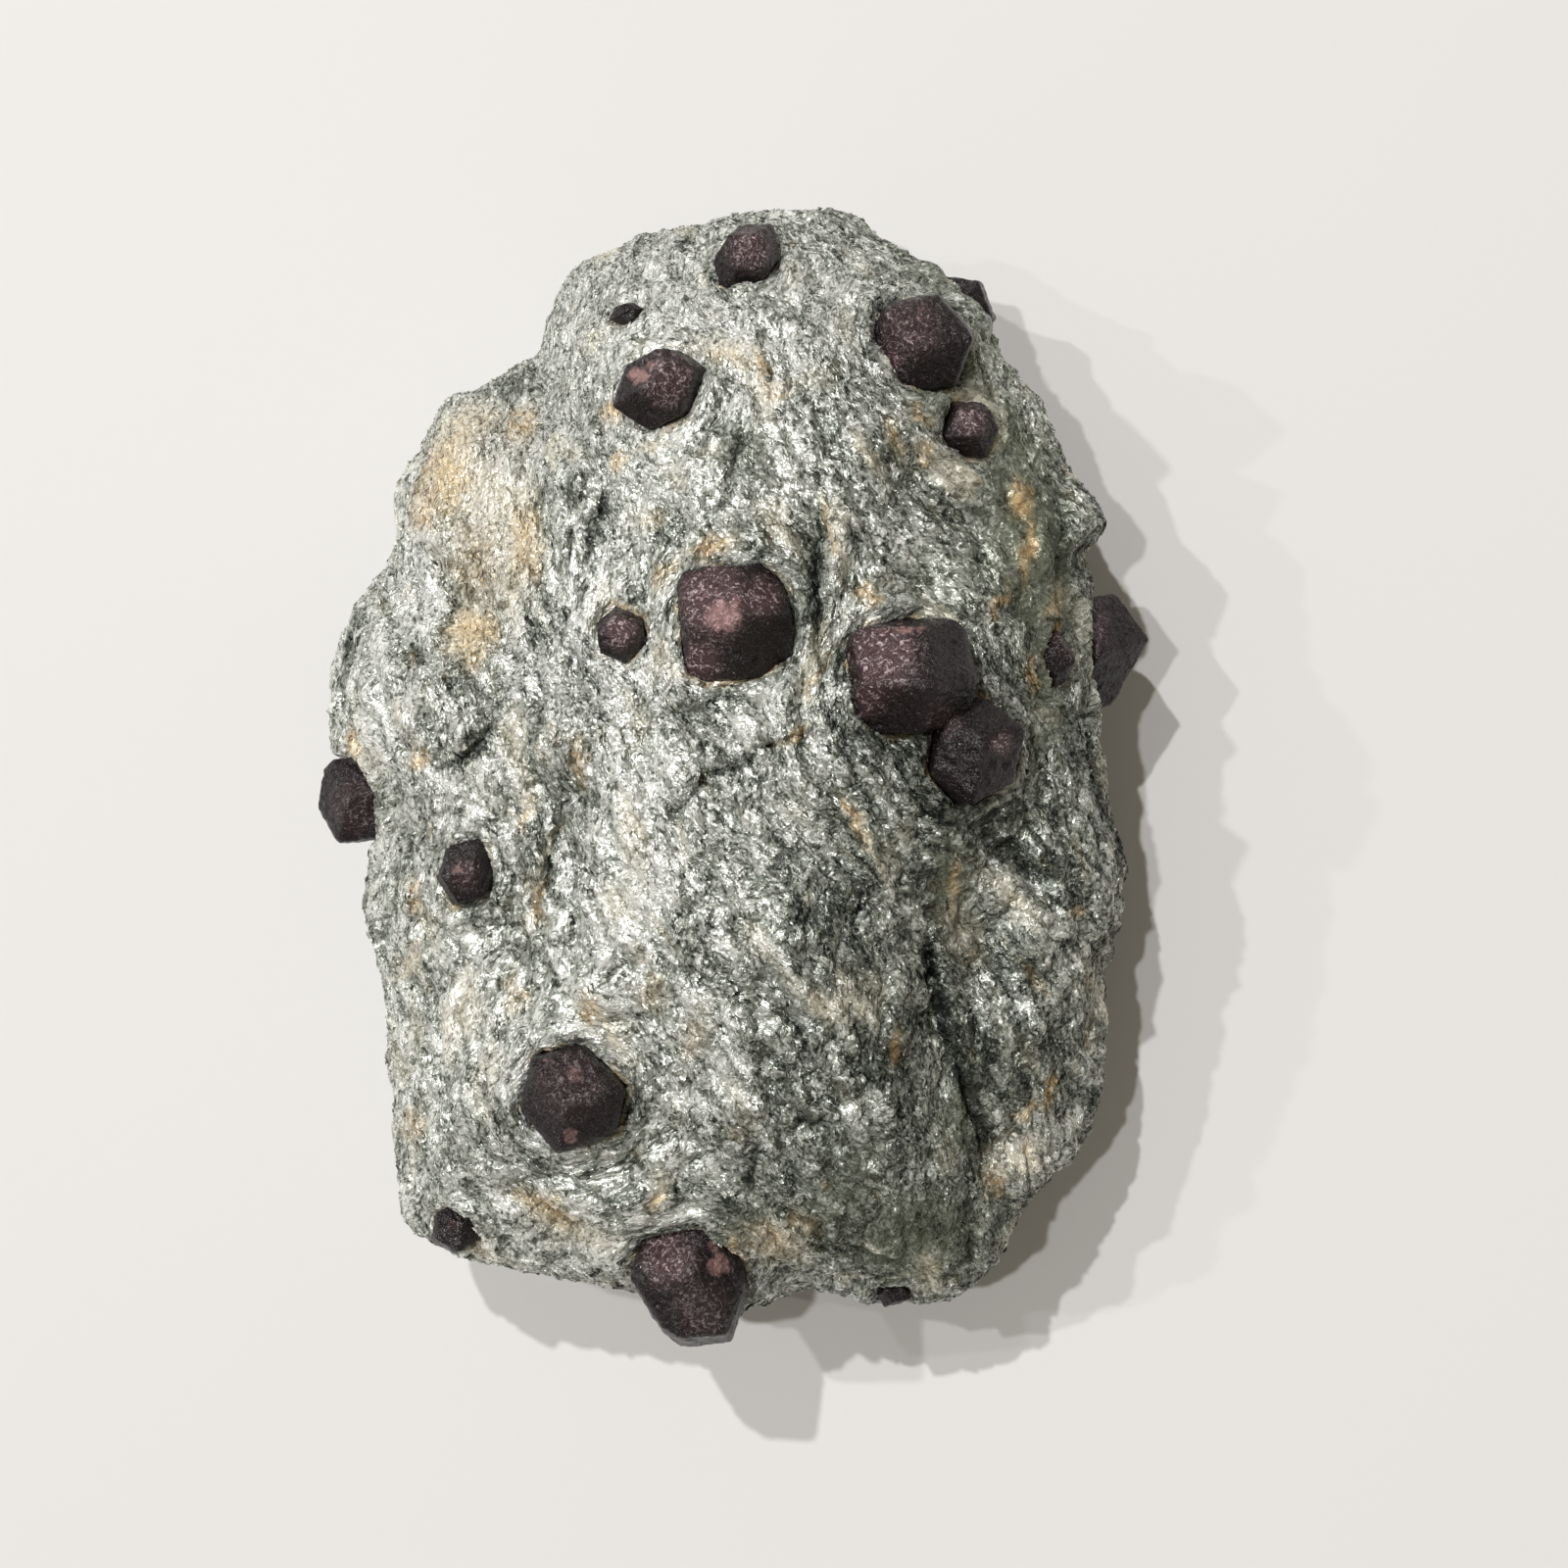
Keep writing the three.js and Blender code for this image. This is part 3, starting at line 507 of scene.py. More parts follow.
STEP_SOFTNESS = 0.6         # reach over which a step of the back drops
UPPER_END = [22, 16]        # the calmer upper end starts at this y, and is full this far past it
UPPER_CALM = 0.3            # how much lower the relief is there
BACK_CELLS = (184, 250)     # cells of the back's grid, across and along
FLANK_ROWS = (20, 25)       # rows above the widest line and below it
FOOT_RINGS = 7
SOCKET_GAP = 0.15           # between a crystal and its socket
SOCKET_DETAIL = 0.28        # a socket's cells, as a share of its crystal's

# The rock's relief. Each pattern has its reach across the grain, along it and up.
SWELL_REACH = [8, 19, 14]
BILLOW_REACH = [2.9, 9.5, 7]
CRINKLE_REACH = [1.5, 4.2, 3]
SHEET_REACH = [4.2, 11, 5]
SHEET_EDGE_REACH = [1.3, 3.4, 1.8]
FLAKE_GRAIN_REACH = [0.6, 1.6, 0.9]
# Sheets on the flanks run level: reach round the lump, and up, of broken and of thin ones.
FLANK_STRETCH = [11, 11, 1]
BROKEN_SHEET_REACH = [1, 1, 2.3]
THIN_SHEET_REACH = [0.45, 0.45, 1.05]
FLANK_WAVE = [0, 0, 2.2]    # how far those sheets rise and fall
FLANK_WAVE_REACH = 12
FOLD_POWER = 0.8            # below 1 the valleys of folded noise are sharper
SHEET_WAVES = [2.4, 0.9]    # how many thin sheets the slow and the fine noise rise through
BILLOW_SEED = 12            # the painted shade in the tone's creases follows the billows' valleys
SWELL_RISE = 0.9
BILLOW_RISE = 2.4
CRINKLE_RISE = 1.1
BACK_REST = 1.2             # taken off the back's billows and crinkles, to keep its mean height
BROKEN_SHEET_RISE = 1.8
THIN_SHEET_RISE = 0.8
FLANK_REST = 0.9            # the same for the flanks' sheets
SHEET_STEP = 0.46           # the step at a thin sheet's broken edge
FLAKE_GRAIN_RISE = 0.05
LIP = [0.55, 2.1, 1.3]      # the raised mica round a garnet: height, distance from it, reach
GAP = [0.75, 0.75]          # the dip against a garnet: depth, reach
HELD = [0.8, 1.5]           # how still the relief is held against a garnet, and over what reach
CRACK_WAVER = [0.45, 1.9]   # how far the cracks' lines stray, and over what reach
SHALLOW_END = 0.25          # a crack's depth at its ends, as a share of its full depth

# The widest line seen from above, anticlockwise from the right-hand side.
OUTLINE = np.array([
    [49.3, -29.2], [49.1, -24.6], [51, -16.4], [51.8, -12.3], [50.6, -7.1], [49.2, 2], [48.4, 9.8],
    [47.1, 25.4], [47, 30.6], [49.2, 34.5], [48.3, 36.9], [43.6, 43], [39.6, 51], [33.9, 57.9],
    [32.9, 63.5], [29.3, 66.4], [19.6, 72.2], [13.3, 75.2], [0.8, 75.7], [-7.1, 73.3],
    [-16.2, 70.9], [-22.3, 65.5], [-24, 60.9], [-24.9, 56.5], [-31.4, 53.6], [-38.3, 50.8],
    [-41.5, 44.9], [-44.9, 39.5], [-44.9, 33.5], [-45.7, 28], [-50.5, 22.4], [-53.1, 15],
    [-53, 6.6], [-49.6, -4.5], [-48, -9.7], [-48.9, -16.8], [-46.6, -23.7], [-45, -33.7],
    [-44.1, -46.1], [-44.5, -51.5], [-42.8, -59.3], [-35, -63.1], [-27.2, -65.3], [-13.6, -67.9],
    [-6.4, -68.4], [0.1, -70.8], [9.2, -67.7], [23.5, -69.4], [29.3, -69.6], [33.6, -66.4],
    [37.9, -58.2], [45.6, -48], [48.8, -35],
])

# Rounded lumps and hollows of the back: [x, y, rise, reach along, reach across, turn in degrees].
LUMPS = [
    [6, 14, 4, 22, 12, 100],        # highest part of the crest
    [8, -26, 5.5, 25, 13, 95],      # long smooth hump of the lower half
    [22, -28, 2.5, 12, 5, 95],      # the hump's right shoulder
    [-44, 12, 3, 7, 6, 90],         # knob over the left garnet
    [-40, 45, 3.5, 6, 5, 40],       # upper left shoulder
    [-20.2, 36.8, 2.4, 3.2, 3, 0],  # mica wrapped over a buried garnet
    [-2.1, 38.2, 2.8, 4.2, 4, 0],   # smooth boss above the centre garnet
    [-9, 10, 1.6, 6, 3, 130],       # lip below left of the centre garnet
    [8, 17, -2.6, 4, 5, 90],        # hollow right of the centre garnet
    [26, 56, 2.6, 8, 8, 0],         # swell round the upper right garnet
    [2, 67, 2, 7, 5, 60],           # swell round the top garnet
    [-9, 49, 1.8, 7, 6, 0],         # swell round the upper left garnet
    [33, 30, -2.5, 12, 6, 110],     # slack of the right flank
    [37, 18, 3, 6, 5, 80],          # swell round the small right garnet
    [26, 8, 2.2, 11, 7, 120],       # swell round the pair
    [34.8, -15.2, 2.6, 7, 2, 130],  # bright rib on the right terrace
    [36.5, -9.5, -1.8, 6, 2, 130],  # dark scarp above the rib
    [31, -22, -5, 12, 5, 85],       # trough at the foot of the ledge
    [44, -20, 2.5, 7, 5, 75],       # lower right swell
    [38.9, -46.6, -3, 3, 2.8, 0],   # pit left by a lost garnet
    [42, -51, 2, 4, 3, 30],         # rim of the pit
    [32, -50, -2, 8, 3.5, 70],      # groove down to the lower edge
    [-20, -40, 1.8, 9, 8, 0],       # swell round the lower left garnet
    [-30, -22, -2, 9, 5, 80],       # slack of the lower left
    [-36, 28, -2, 8, 5, 70],        # slack above the left knob
    [-24, -57, 2, 6, 4, 20],        # swirl at the lower left edge
    [-6, -57, 1, 8, 4, 0],          # swell above the bottom garnet
    [8, -59, 1.6, 5, 4, 0],         # swirl right of the bottom garnet
    [-30, 50, -4, 4, 4, 0],         # dark niche in the upper left edge
    [20, 69, 2, 8, 5, 150],         # top right shoulder
    [4, 50, 4.5, 16, 14, 90],       # fullness of the upper back
    [-27, 22, 1.8, 14, 3.4, 112],   # crenulation ridges, all along the grain of the mica
    [-36, 2, 1.8, 12, 3.2, 105],
    [-14, 0, 1.6, 16, 3.6, 110],
    [-32, -34, 1.6, 14, 3.2, 98],
    [-6, -14, 1.4, 14, 3.4, 100],
    [16, -46, 1.8, 14, 4, 100],
    [-24, 44, 1.6, 10, 3.2, 120],
    [14, 48, 1.4, 12, 3.2, 100],
    [30, 22, 1.5, 10, 3.2, 100],
]

# Broken steps of the back: [x, y, drop, turn in degrees, half length, reach past the step].
STEPS = [
    [26, -28, 4.6, -80, 14, 9],     # ledge down the right side of the hump
    [36, -9, 2.2, -38, 9, 8],       # scarp over the right terrace
    [11.5, 29, 1.6, -92, 11, 5],    # crease above the pair
    [-22, -6, 1.4, 75, 13, 7],      # arc crack left of the hump
]

# Broken faces of the flanks: [compass, dip, distance from the lump's middle].
BREAKS = [
    [-8, -38, 44.5], [28, -30, 52], [62, -40, 57], [100, -35, 61], [150, -42, 47.5],
    [188, -33, 44], [222, -40, 53], [262, -36, 58.5], [300, -40, 58.5], [335, -32, 51.5],
    [-14, 32, 45.5], [38, 36, 50], [205, 34, 51], [285, 38, 56.5], [128, 36, 51.5],
]

# Cracks and folds too fine for the solid: [depth, half width, points along it]. A negative depth
# is a ridge.
FOLDS = [
    [1.2, 0.6, [[12.3, 36.6], [11.3, 31], [10.4, 25.5], [10.8, 19.3], [11, 13.1], [10.3, 9.8]]],
    [1.3, 0.45, [[10.3, 9.1], [9, 6], [6.6, 4.6], [3.6, 3.9], [1.2, 1.4], [-3.1, 0.7],
                 [-6.8, -4.1], [-10.1, -4.6]]],
    [1.0, 0.45, [[-21.5, 0.9], [-21.2, -2.5], [-22.2, -6.8], [-23.3, -11], [-24, -14], [-25.1, -17.8]]],
    [0.6, 0.3, [[-10.8, -12.5], [-10.7, -16.7], [-11.7, -21.7]]],
    [1.5, 0.9, [[-30.2, 12.4], [-31, 6.7], [-32.7, 3.9], [-35.7, 1.7], [-37.7, 0.4]]],
    [1.2, 0.7, [[-40.2, 10.4], [-38.5, 6.7], [-37.7, 3.4], [-37.4, 0.2]]],
    [1.2, 0.8, [[-49.2, 24.4], [-50.8, 18.7], [-51.3, 12.3], [-50.5, 6.5]]],
    [1.4, 0.7, [[42.8, 41.6], [43.9, 35.2], [43.3, 30.6], [42.6, 25.5], [43.9, 18.8]]],
    [1.3, 0.6, [[39.3, 4.2], [40.4, -0.6], [41.3, -5.2], [43.4, -9.7], [44.4, -14], [46.1, -18.9]]],
    [2.6, 0.9, [[24.2, -12.6], [25.0, -18.1], [25.8, -25.6], [27.4, -31.4], [28.8, -36.6],
                [30.4, -41.1], [32.2, -45.1], [33, -50.1], [32.5, -53.6]]],
    [1.2, 0.6, [[29.9, -51.8], [30.8, -56.4], [31.3, -61.2], [30.2, -64.3]]],
    [0.9, 0.6, [[1.8, -56], [5.6, -55.1], [9.3, -56.8], [12.9, -60.1], [15.7, -62.9], [18.2, -65.4]]],
    [0.8, 0.6, [[-30.1, -54.4], [-26.6, -51.4], [-21.1, -51.1], [-16.6, -53.9], [-13.3, -58.7]]],
    [0.6, 0.5, [[-28.6, -57.2], [-25.4, -55.4], [-22.1, -56.7], [-19.8, -59.9]]],
    [0.8, 0.4, [[0.1, -44.9], [-2.4, -47.7], [-5.4, -48.9], [-7.6, -50.2]]],
    [0.9, 0.5, [[-8.2, -37.3], [-11.4, -39], [-13.4, -42.5], [-14.4, -46]]],
    [0.6, 0.35, [[14.5, -29.2], [16.4, -27.2], [19.2, -27.7], [20.1, -29.7]]],
    [1.2, 0.35, [[-3.5, 68.1], [-3.2, 64.8], [-2.7, 62]]],
    [1.2, 0.35, [[-2.1, 68.3], [-1.9, 64.5], [-1.4, 61]]],
    [1.2, 0.35, [[-0.7, 67.8], [-0.7, 63.5], [-0.5, 59.8]]],
    [1.3, 0.8, [[-15.6, 36.8], [-16.9, 33.3], [-18.1, 29.8]]],
    [1.1, 0.7, [[-23.9, 39.6], [-24.9, 35.4], [-24.4, 31.4], [-22.7, 29.1]]],
    [0.9, 0.5, [[-39.7, 31], [-38, 26.9], [-35.7, 22.9], [-34, 19.4]]],
    [1.0, 0.5, [[-37.7, 32], [-35.7, 27.4], [-33.2, 23.4], [-32.2, 19.9]]],
    [0.9, 0.5, [[-34.7, 34.5], [-33.5, 29.9], [-31.5, 25.7], [-30.2, 21.9]]],
    [1.0, 0.7, [[2.6, 44.1], [0.6, 40.3], [-0.4, 35.4], [-2.6, 31.7]]],
    [0.8, 0.5, [[-12.1, 11.8], [-10.3, 8.1], [-7.1, 4.4]]],
    [1.4, 0.9, [[32.2, -7.9], [35.5, -10.1], [39.3, -11.9], [43.3, -13.4]]],
    [1.0, 0.6, [[45.7, 12.3], [46.7, 5.8], [47.7, -0.6], [49, -7]]],
    [0.8, 0.8, [[16.5, 6.9], [19, 3.2], [22.8, -0.6], [26.5, -5.1]]],
    [0.6, 0.35, [[-6, 59.5], [-5, 56.6], [-4, 54.5]]],
    [0.9, 0.6, [[-42.4, -13.8], [-40.9, -18.3], [-39.2, -21.5]]],
    [0.6, 0.5, [[-31.3, -48.6], [-32.1, -43.5], [-31.3, -37.2]]],
    [-1.3, 1.1, [[13.9, 36.4], [13.4, 31.2], [12.8, 26.4], [12.9, 21.5]]],
    [-0.9, 0.9, [[15.0, -4.5], [17.2, -8.4], [18.5, -12.3], [19.8, -15.4], [21.0, -20]]],
    [-1.0, 1.2, [[32.8, -10.4], [36.2, -14.2], [40.6, -17.8], [43.2, -19.6]]],
    [-0.8, 1.0, [[-42.0, -20.5], [-39.9, -23.2], [-43.0, -26.8]]],
]

# The mica's colours, from dark green chlorite to silver muscovite: the darkest, and then
# [from this shade, full at this shade, colour].
CHLORITE_DARK = "#262b26"
MICA_SHADES = [[0.33, 0.66, "#6d7369"], [0.64, 0.92, "#b0b4ab"], [0.90, 1.22, "#f4f5f1"]]
CHLORITE_SAGE = "#8b907c"
CREAM_DUST = "#e6dcc4"
RUST_IN_DIPS = "#b08145"
RUST_ON_CRESTS = "#e8cd9a"
RUSTY_CREAM = "#efdcb4"

# The mica's tone: its middle, and what is added towards the left side and the upper end, by
# streaks and by silvery patches, which are partly painted sheen.
MIDDLE_TONE = 0.648
LEFT_TONE = 0.07
UPPER_TONE = 0.03
STREAK_TONE = 0.15
FINE_STREAK_TONE = 0.10
SILVER_AND_SHEEN_TONE = 0.22
# What is taken off in dark patches (partly painted shade) and sage patches, and painted shade in creases,
# under sheets' steps and in cracks.
DARK_AND_SHADE_TONE = 0.30
SAGE_TONE = 0.08
PAINTED_CREASE_SHADE = 0.20
PAINTED_STEP_SHADE = 0.20
PAINTED_CRACK_SHADE = 0.3
UPPER_EVENNESS = 0.6        # how much weaker streaks, creases and edges are at the upper end
FOOT_TONE_SHARE = 0.15      # what is left of them on the resting face

# The shade within one patch of tone: painted light on crests and painted shade in dips, a facet's and a
# flake's share, and the painted shade of hair cracks.
PAINTED_CREST_SHADING = 0.1
FACET_SHADE = 0.30
FLAKE_SHADE = 0.38
PAINTED_HAIR_CRACK_SHADE = -0.45
# How much of the mica each stain hides at its strongest.
SAGE_COVER = 0.6
CREAM_COVER = 0.75
RUST_COVER = 0.85
# Depths of the finish's relief in metres, for each unit of height.
FLAKE_DEPTH_STEP = 0.00024
FACET_DEPTH_STEP = 0.0008
WRINKLE_DEPTH_STEP = 0.00026
ROCK_ROUGHNESS = 0.28       # of its best polished flakes
ROUGHNESS_SPREAD = 0.25     # how much rougher the dullest flakes are
METALLIC_SHINE = [0.45, 0.1]   # where the mica is clean, and under a full stain

# Patterns of the finish, in millimetres across the grain, along it and up.
FACET_SIZE = (1.1, 2.4, 1.4)
FLAKE_SIZE = (0.3, 0.75, 0.4)
WRINKLE_SIZE = (0.7, 1.8, 1)
CURL_SIZE = 2
CRACKS_TO_A_MM = 0.36
MICA_IOR = 1.6

# Where the finish strays: reach across the grain, along it and up of its slow patches and streaks.
STRAY_REACH = [6, 13, 6]
STREAK_REACH = [2.2, 9, 2.2]
STRAY_SHARE = 0.35          # how much slow noise adds to silver and takes from dark
RIM_RUST = [0.3, 0.45]      # the line of rust round a garnet: its distance and reach
BACK_FROM = [15, 7]         # patches show above this height, and are full this far above it

# Patches of the rock's finish: [x, y, half length, half width, turn, strength].
RUSTY = [
    [-37.2, 39.5, 5.5, 3.8, 80, 0.9], [-28.0, 46.0, 3.0, 2.4, 60, 0.75], [-40.5, 35.5, 3.2, 2.2, 90, 0.7],
    [-26.5, 30.5, 6.0, 2.0, 95, 0.8], [-33.3, 19.0, 3.4, 3.0, 40, 1.0], [-33.0, 15.6, 2.2, 1.5, 90, 0.8],
    [-33.0, 28.0, 6.5, 4.5, 110, 0.45], [-15.2, 47.0, 1.8, 1.2, 0, 0.9], [-14.3, 40.2, 1.2, 1.6, 0, 0.9],
    [3.6, 52.0, 2.6, 0.9, 100, 0.9], [5.6, 49.0, 1.8, 1.4, 0, 0.6], [0.0, 53.2, 4.0, 0.8, 165, 0.5],
    [-2.2, 29.0, 2.8, 1.4, 20, 0.9], [-8.2, 26.2, 2.2, 1.0, 40, 0.7], [-7.5, 45.0, 2.0, 0.8, 15, 0.5],
    [23.8, 46.6, 2.2, 0.8, 150, 0.8], [24.5, 41.5, 2.0, 0.8, 100, 0.7], [20.5, 43.5, 3.6, 0.8, 115, 0.6],
    [12.2, 32.0, 4.0, 0.6, 95, 0.7], [37.3, 36.6, 2.6, 1.3, 95, 1.0], [38.0, 30.0, 4.6, 0.9, 85, 0.75],
    [34.2, 22.5, 2.6, 0.8, 60, 0.8], [38.4, 13.4, 2.4, 0.9, 95, 1.0], [41.7, 22.4, 2.0, 1.0, 60, 0.6],
    [17.0, 23.0, 1.8, 1.2, 0, 0.8], [10.6, 12.6, 3.0, 0.7, 70, 0.8], [8.0, 5.6, 2.6, 0.5, 35, 0.7],
    [15.2, -4.6, 3.0, 0.7, 120, 0.8], [28.4, -13.5, 3.4, 0.7, 85, 0.7], [20.8, -33.5, 2.6, 0.8, 80, 0.5],
    [41.4, -41.0, 2.4, 0.8, 85, 1.0], [38.3, -43.2, 2.6, 0.8, 20, 0.7], [38.2, -48.6, 2.6, 1.0, 120, 0.6],
    [34.6, -52.6, 1.6, 2.2, 0, 0.6], [44.8, -17.6, 1.0, 0.8, 0, 0.9], [-50.0, 5.0, 2.4, 1.2, 80, 0.8],
    [-40.5, 2.6, 1.8, 1.2, 45, 0.8], [-41.2, -15.4, 2.6, 1.0, 100, 0.6], [-42.0, -22.5, 2.4, 0.8, 40, 0.5],
    [-42.0, -45.2, 2.4, 1.6, 60, 0.5], [-19.3, 2.4, 3.0, 1.1, 100, 0.7], [-26.6, -4.6, 2.4, 0.9, 75, 0.6],
    [-25.2, -15.6, 3.4, 0.9, 75, 0.7], [-27.8, -27.6, 3.0, 1.4, 85, 0.45],
    [-18.0, -29.0, 2.2, 1.3, 120, 0.6],
    [-9.8, -27.0, 2.4, 1.4, 90, 0.4], [-5.0, -33.0, 2.4, 1.6, 70, 0.35], [-14.2, -38.0, 2.0, 0.7, 100, 0.7],
    [-24.0, -55.6, 4.6, 1.7, 150, 0.75], [-10.0, -54.0, 1.6, 0.9, 60, 0.6],
    [5.5, -60.0, 4.2, 2.2, 150, 0.5],
    [0.3, -61.5, 3.0, 0.7, 115, 0.8], [9.0, -57.5, 2.4, 1.6, 120, 0.35], [-10.6, 33.0, 2.2, 1.4, 0, 0.35],
    [-44.6, 47.4, 2.2, 1.0, 60, 0.5], [-34.0, 45.8, 4.0, 3.0, 30, 0.4],
]
CREAMY = [
    [-36.0, 46.0, 4.6, 3.0, 40, 0.9], [-31.0, 36.5, 5.5, 3.4, 100, 0.8], [-33.6, 18.6, 3.8, 3.0, 40, 0.9],
    [-36.5, 38.5, 5.5, 3.4, 90, 0.7], [-26.8, 33.0, 8.0, 2.4, 95, 0.6],
    [13.6, 29.5, 5.0, 0.9, 97, 1.0], [17.2, 41.0, 4.0, 1.0, 125, 0.8], [-1.0, 54.5, 5.0, 1.6, 165, 0.7],
    [-3.0, 41.2, 1.6, 1.0, 20, 0.5], [-9.6, 42.4, 2.0, 0.8, 25, 1.0], [9.8, -14.6, 0.8, 0.8, 0, 1.0],
    [17.4, -8.6, 5.6, 0.6, 112, 1.0], [29.5, -20.0, 5.0, 2.4, 120, 0.45], [36.0, -15.2, 5.5, 1.6, 135, 0.8],
    [47.0, -28.0, 5.5, 1.0, 100, 0.6], [37.0, -50.0, 3.4, 1.4, 150, 0.8], [-49.0, 0.0, 2.6, 1.6, 120, 1.0],
    [-39.5, -18.5, 4.0, 0.8, 110, 0.7], [-42.6, -24.6, 3.2, 0.8, 45, 0.7],
    [-15.4, -32.0, 4.6, 1.2, 125, 0.9],
    [4.6, -61.4, 4.2, 1.6, 160, 0.7], [-20.0, -59.0, 5.0, 1.8, 165, 0.6], [-23.6, -9.4, 5.4, 0.5, 70, 0.7],
    [-4.0, -31.0, 3.4, 1.4, 80, 0.5], [-9.0, -52.0, 2.6, 1.0, 100, 0.6], [10.5, 50.6, 3.0, 1.4, 30, 0.4],
    [-32.5, -40.5, 3.6, 0.9, 100, 0.5], [-41.5, -32.0, 5.0, 0.9, 95, 0.4],
]
# Silvery patches: partly paler silver mica, partly painted sheen where the back faces the light.
SILVER_AND_SHEEN_PATCHES = [
    [-6.5, 1.8, 6.5, 4.6, 40, 1.0], [-14.0, -6.0, 7.0, 5.0, 120, 0.7], [-12.0, -16.5, 7.0, 4.6, 60, 0.9],
    [3.0, 6.6, 3.4, 2.2, 30, 0.9], [-3.0, -33.0, 8.0, 3.6, 120, 0.9], [-1.5, -49.0, 4.5, 2.4, 20, 0.8],
    [12.6, 1.8, 4.5, 2.6, 115, 0.8], [-7.0, -9.0, 8.0, 6.0, 110, 0.5], [37.5, -14.8, 6.0, 2.2, 130, 1.0],
    [42.5, -22.0, 5.0, 1.8, 115, 0.9], [38.0, -48.4, 2.6, 2.0, 0, 1.0], [44.5, -45.5, 5.0, 1.6, 65, 0.8],
    [-1.0, 57.5, 6.0, 3.6, 140, 0.7], [10.5, 64.0, 7.0, 3.2, 150, 0.6],
    [9.5, 57.0, 8.0, 6.0, 90, 0.5], [13.6, 26.0, 6.0, 1.2, 97, 0.9], [24.0, 29.5, 4.2, 2.4, 160, 0.8],
    [26.0, 24.0, 3.4, 2.0, 0, 0.6], [-38.0, 3.0, 8.0, 4.0, 100, 0.5], [-34.0, 46.0, 5.0, 4.0, 30, 0.6],
    [-30.0, 35.0, 8.0, 6.0, 100, 0.5], [-18.5, 33.5, 2.6, 2.0, 0, 0.7], [-40.0, 21.5, 7.0, 4.0, 100, 0.6],
    [-17.0, 22.0, 10.0, 6.0, 110, 0.4], [-12.0, 12.0, 10.0, 7.0, 120, 0.4],
    [-21.0, -21.0, 9.0, 3.5, 80, 0.4],
    [-20.0, -61.0, 8.0, 2.4, 165, 0.4], [6.0, 36.0, 4.0, 2.0, 90, 0.7], [13.0, 11.0, 3.0, 1.4, 100, 0.8],
    [-33.0, -2.0, 5.0, 3.0, 90, 0.6], [-29.0, -32.0, 10.0, 4.0, 95, 0.15], [48.2, -9.0, 6.0, 1.2, 100, 0.3],
    [-46.0, 10.0, 10.0, 6.0, 95, 1.0], [-44.0, 30.0, 9.0, 4.0, 100, 0.5],
    [-8.0, 60.0, 12.0, 8.0, 40, 0.3], [2.0, 45.0, 10.0, 12.0, 90, 0.4], [-44.0, -20.0, 12.0, 3.0, 95, 0.6],
]
# Dark patches: partly darker chlorite, partly painted shade where the back and the right flank turn from
# the light.
DARK_AND_SHADE_PATCHES = [
    [-39.5, 14.0, 6.0, 2.4, 150, 0.7], [-43.8, 14.5, 6.0, 1.2, 95, 0.6], [-20.4, 37.4, 2.4, 2.0, 0, 0.8],
    [-16.6, 33.6, 4.2, 1.2, 65, 0.7], [-1.8, 43.0, 5.0, 4.0, 0, 0.55], [4.4, 35.5, 9.0, 2.4, 92, 0.7],
    [9.6, 24.0, 10.0, 2.2, 92, 0.9], [20.0, 39.0, 5.0, 4.0, 0, 0.5], [28.0, 36.5, 7.0, 5.0, 20, 0.5],
    [20.0, 5.6, 7.5, 2.2, 140, 1.0], [30.0, -4.0, 7.0, 3.0, 170, 1.0], [24.0, -9.0, 8.0, 4.0, 120, 0.9],
    [13.0, -20.0, 13.0, 7.5, 100, 0.75], [20.0, -33.0, 10.0, 5.0, 100, 0.8],
    [36.0, -24.0, 6.0, 4.0, 140, 0.8],
    [34.0, -33.0, 8.0, 6.0, 90, 0.8], [27.5, -30.0, 12.0, 1.6, 100, 1.0], [30.0, -38.5, 4.0, 2.6, 90, 1.0],
    [35.8, -8.4, 7.0, 1.6, 150, 0.8], [43.8, 7.0, 12.0, 1.6, 95, 0.8], [49.0, -2.0, 10.0, 2.0, 95, 0.5],
    [6.0, -42.0, 9.0, 6.0, 20, 0.55], [14.0, -50.0, 10.0, 5.0, 10, 0.7], [20.0, -60.0, 9.0, 6.0, 170, 0.75],
    [-11.4, -42.4, 3.4, 1.6, 100, 0.9], [-6.5, -20.0, 5.0, 3.0, 60, 0.4], [-2.0, -8.0, 6.0, 2.4, 70, 0.3],
    [-22.6, 1.0, 6.0, 3.4, 130, 0.5], [-24.0, -6.0, 6.0, 3.0, 100, 0.4], [-26.0, 17.5, 3.0, 2.4, 60, 0.5],
    [-32.6, -5.6, 3.4, 2.4, 0, 0.5], [-33.0, -17.0, 3.4, 2.0, 0, 0.6], [-4.0, 10.2, 6.0, 2.2, 15, 0.6],
    [0.0, -56.5, 3.4, 2.4, 0, 0.7], [12.0, 45.0, 5.0, 2.0, 110, 0.4], [-29.0, 51.5, 4.5, 2.2, 15, 1.0],
    [36.5, -60.0, 6.0, 4.0, 60, 0.6], [34.0, 30.0, 8.0, 5.0, 90, 0.3], [-6.0, 70.5, 5.0, 1.4, 30, 0.3],
    [14.0, 14.0, 5.0, 4.0, 90, 0.7], [47.0, 30.0, 12.0, 3.0, 95, 0.5], [40.0, -37.0, 6.0, 5.0, 90, 0.6],
    [31.0, -49.0, 6.0, 2.0, 75, 0.8], [5.4, -50.0, 5.0, 3.0, 0, 0.4], [39.0, 30.0, 16.0, 6.0, 100, 1.0],
    [27.0, -59.0, 7.0, 6.0, 80, 0.8], [16.0, -8.0, 8.0, 6.0, 120, 0.7], [14.0, 6.0, 6.0, 3.0, 110, 0.6],
]
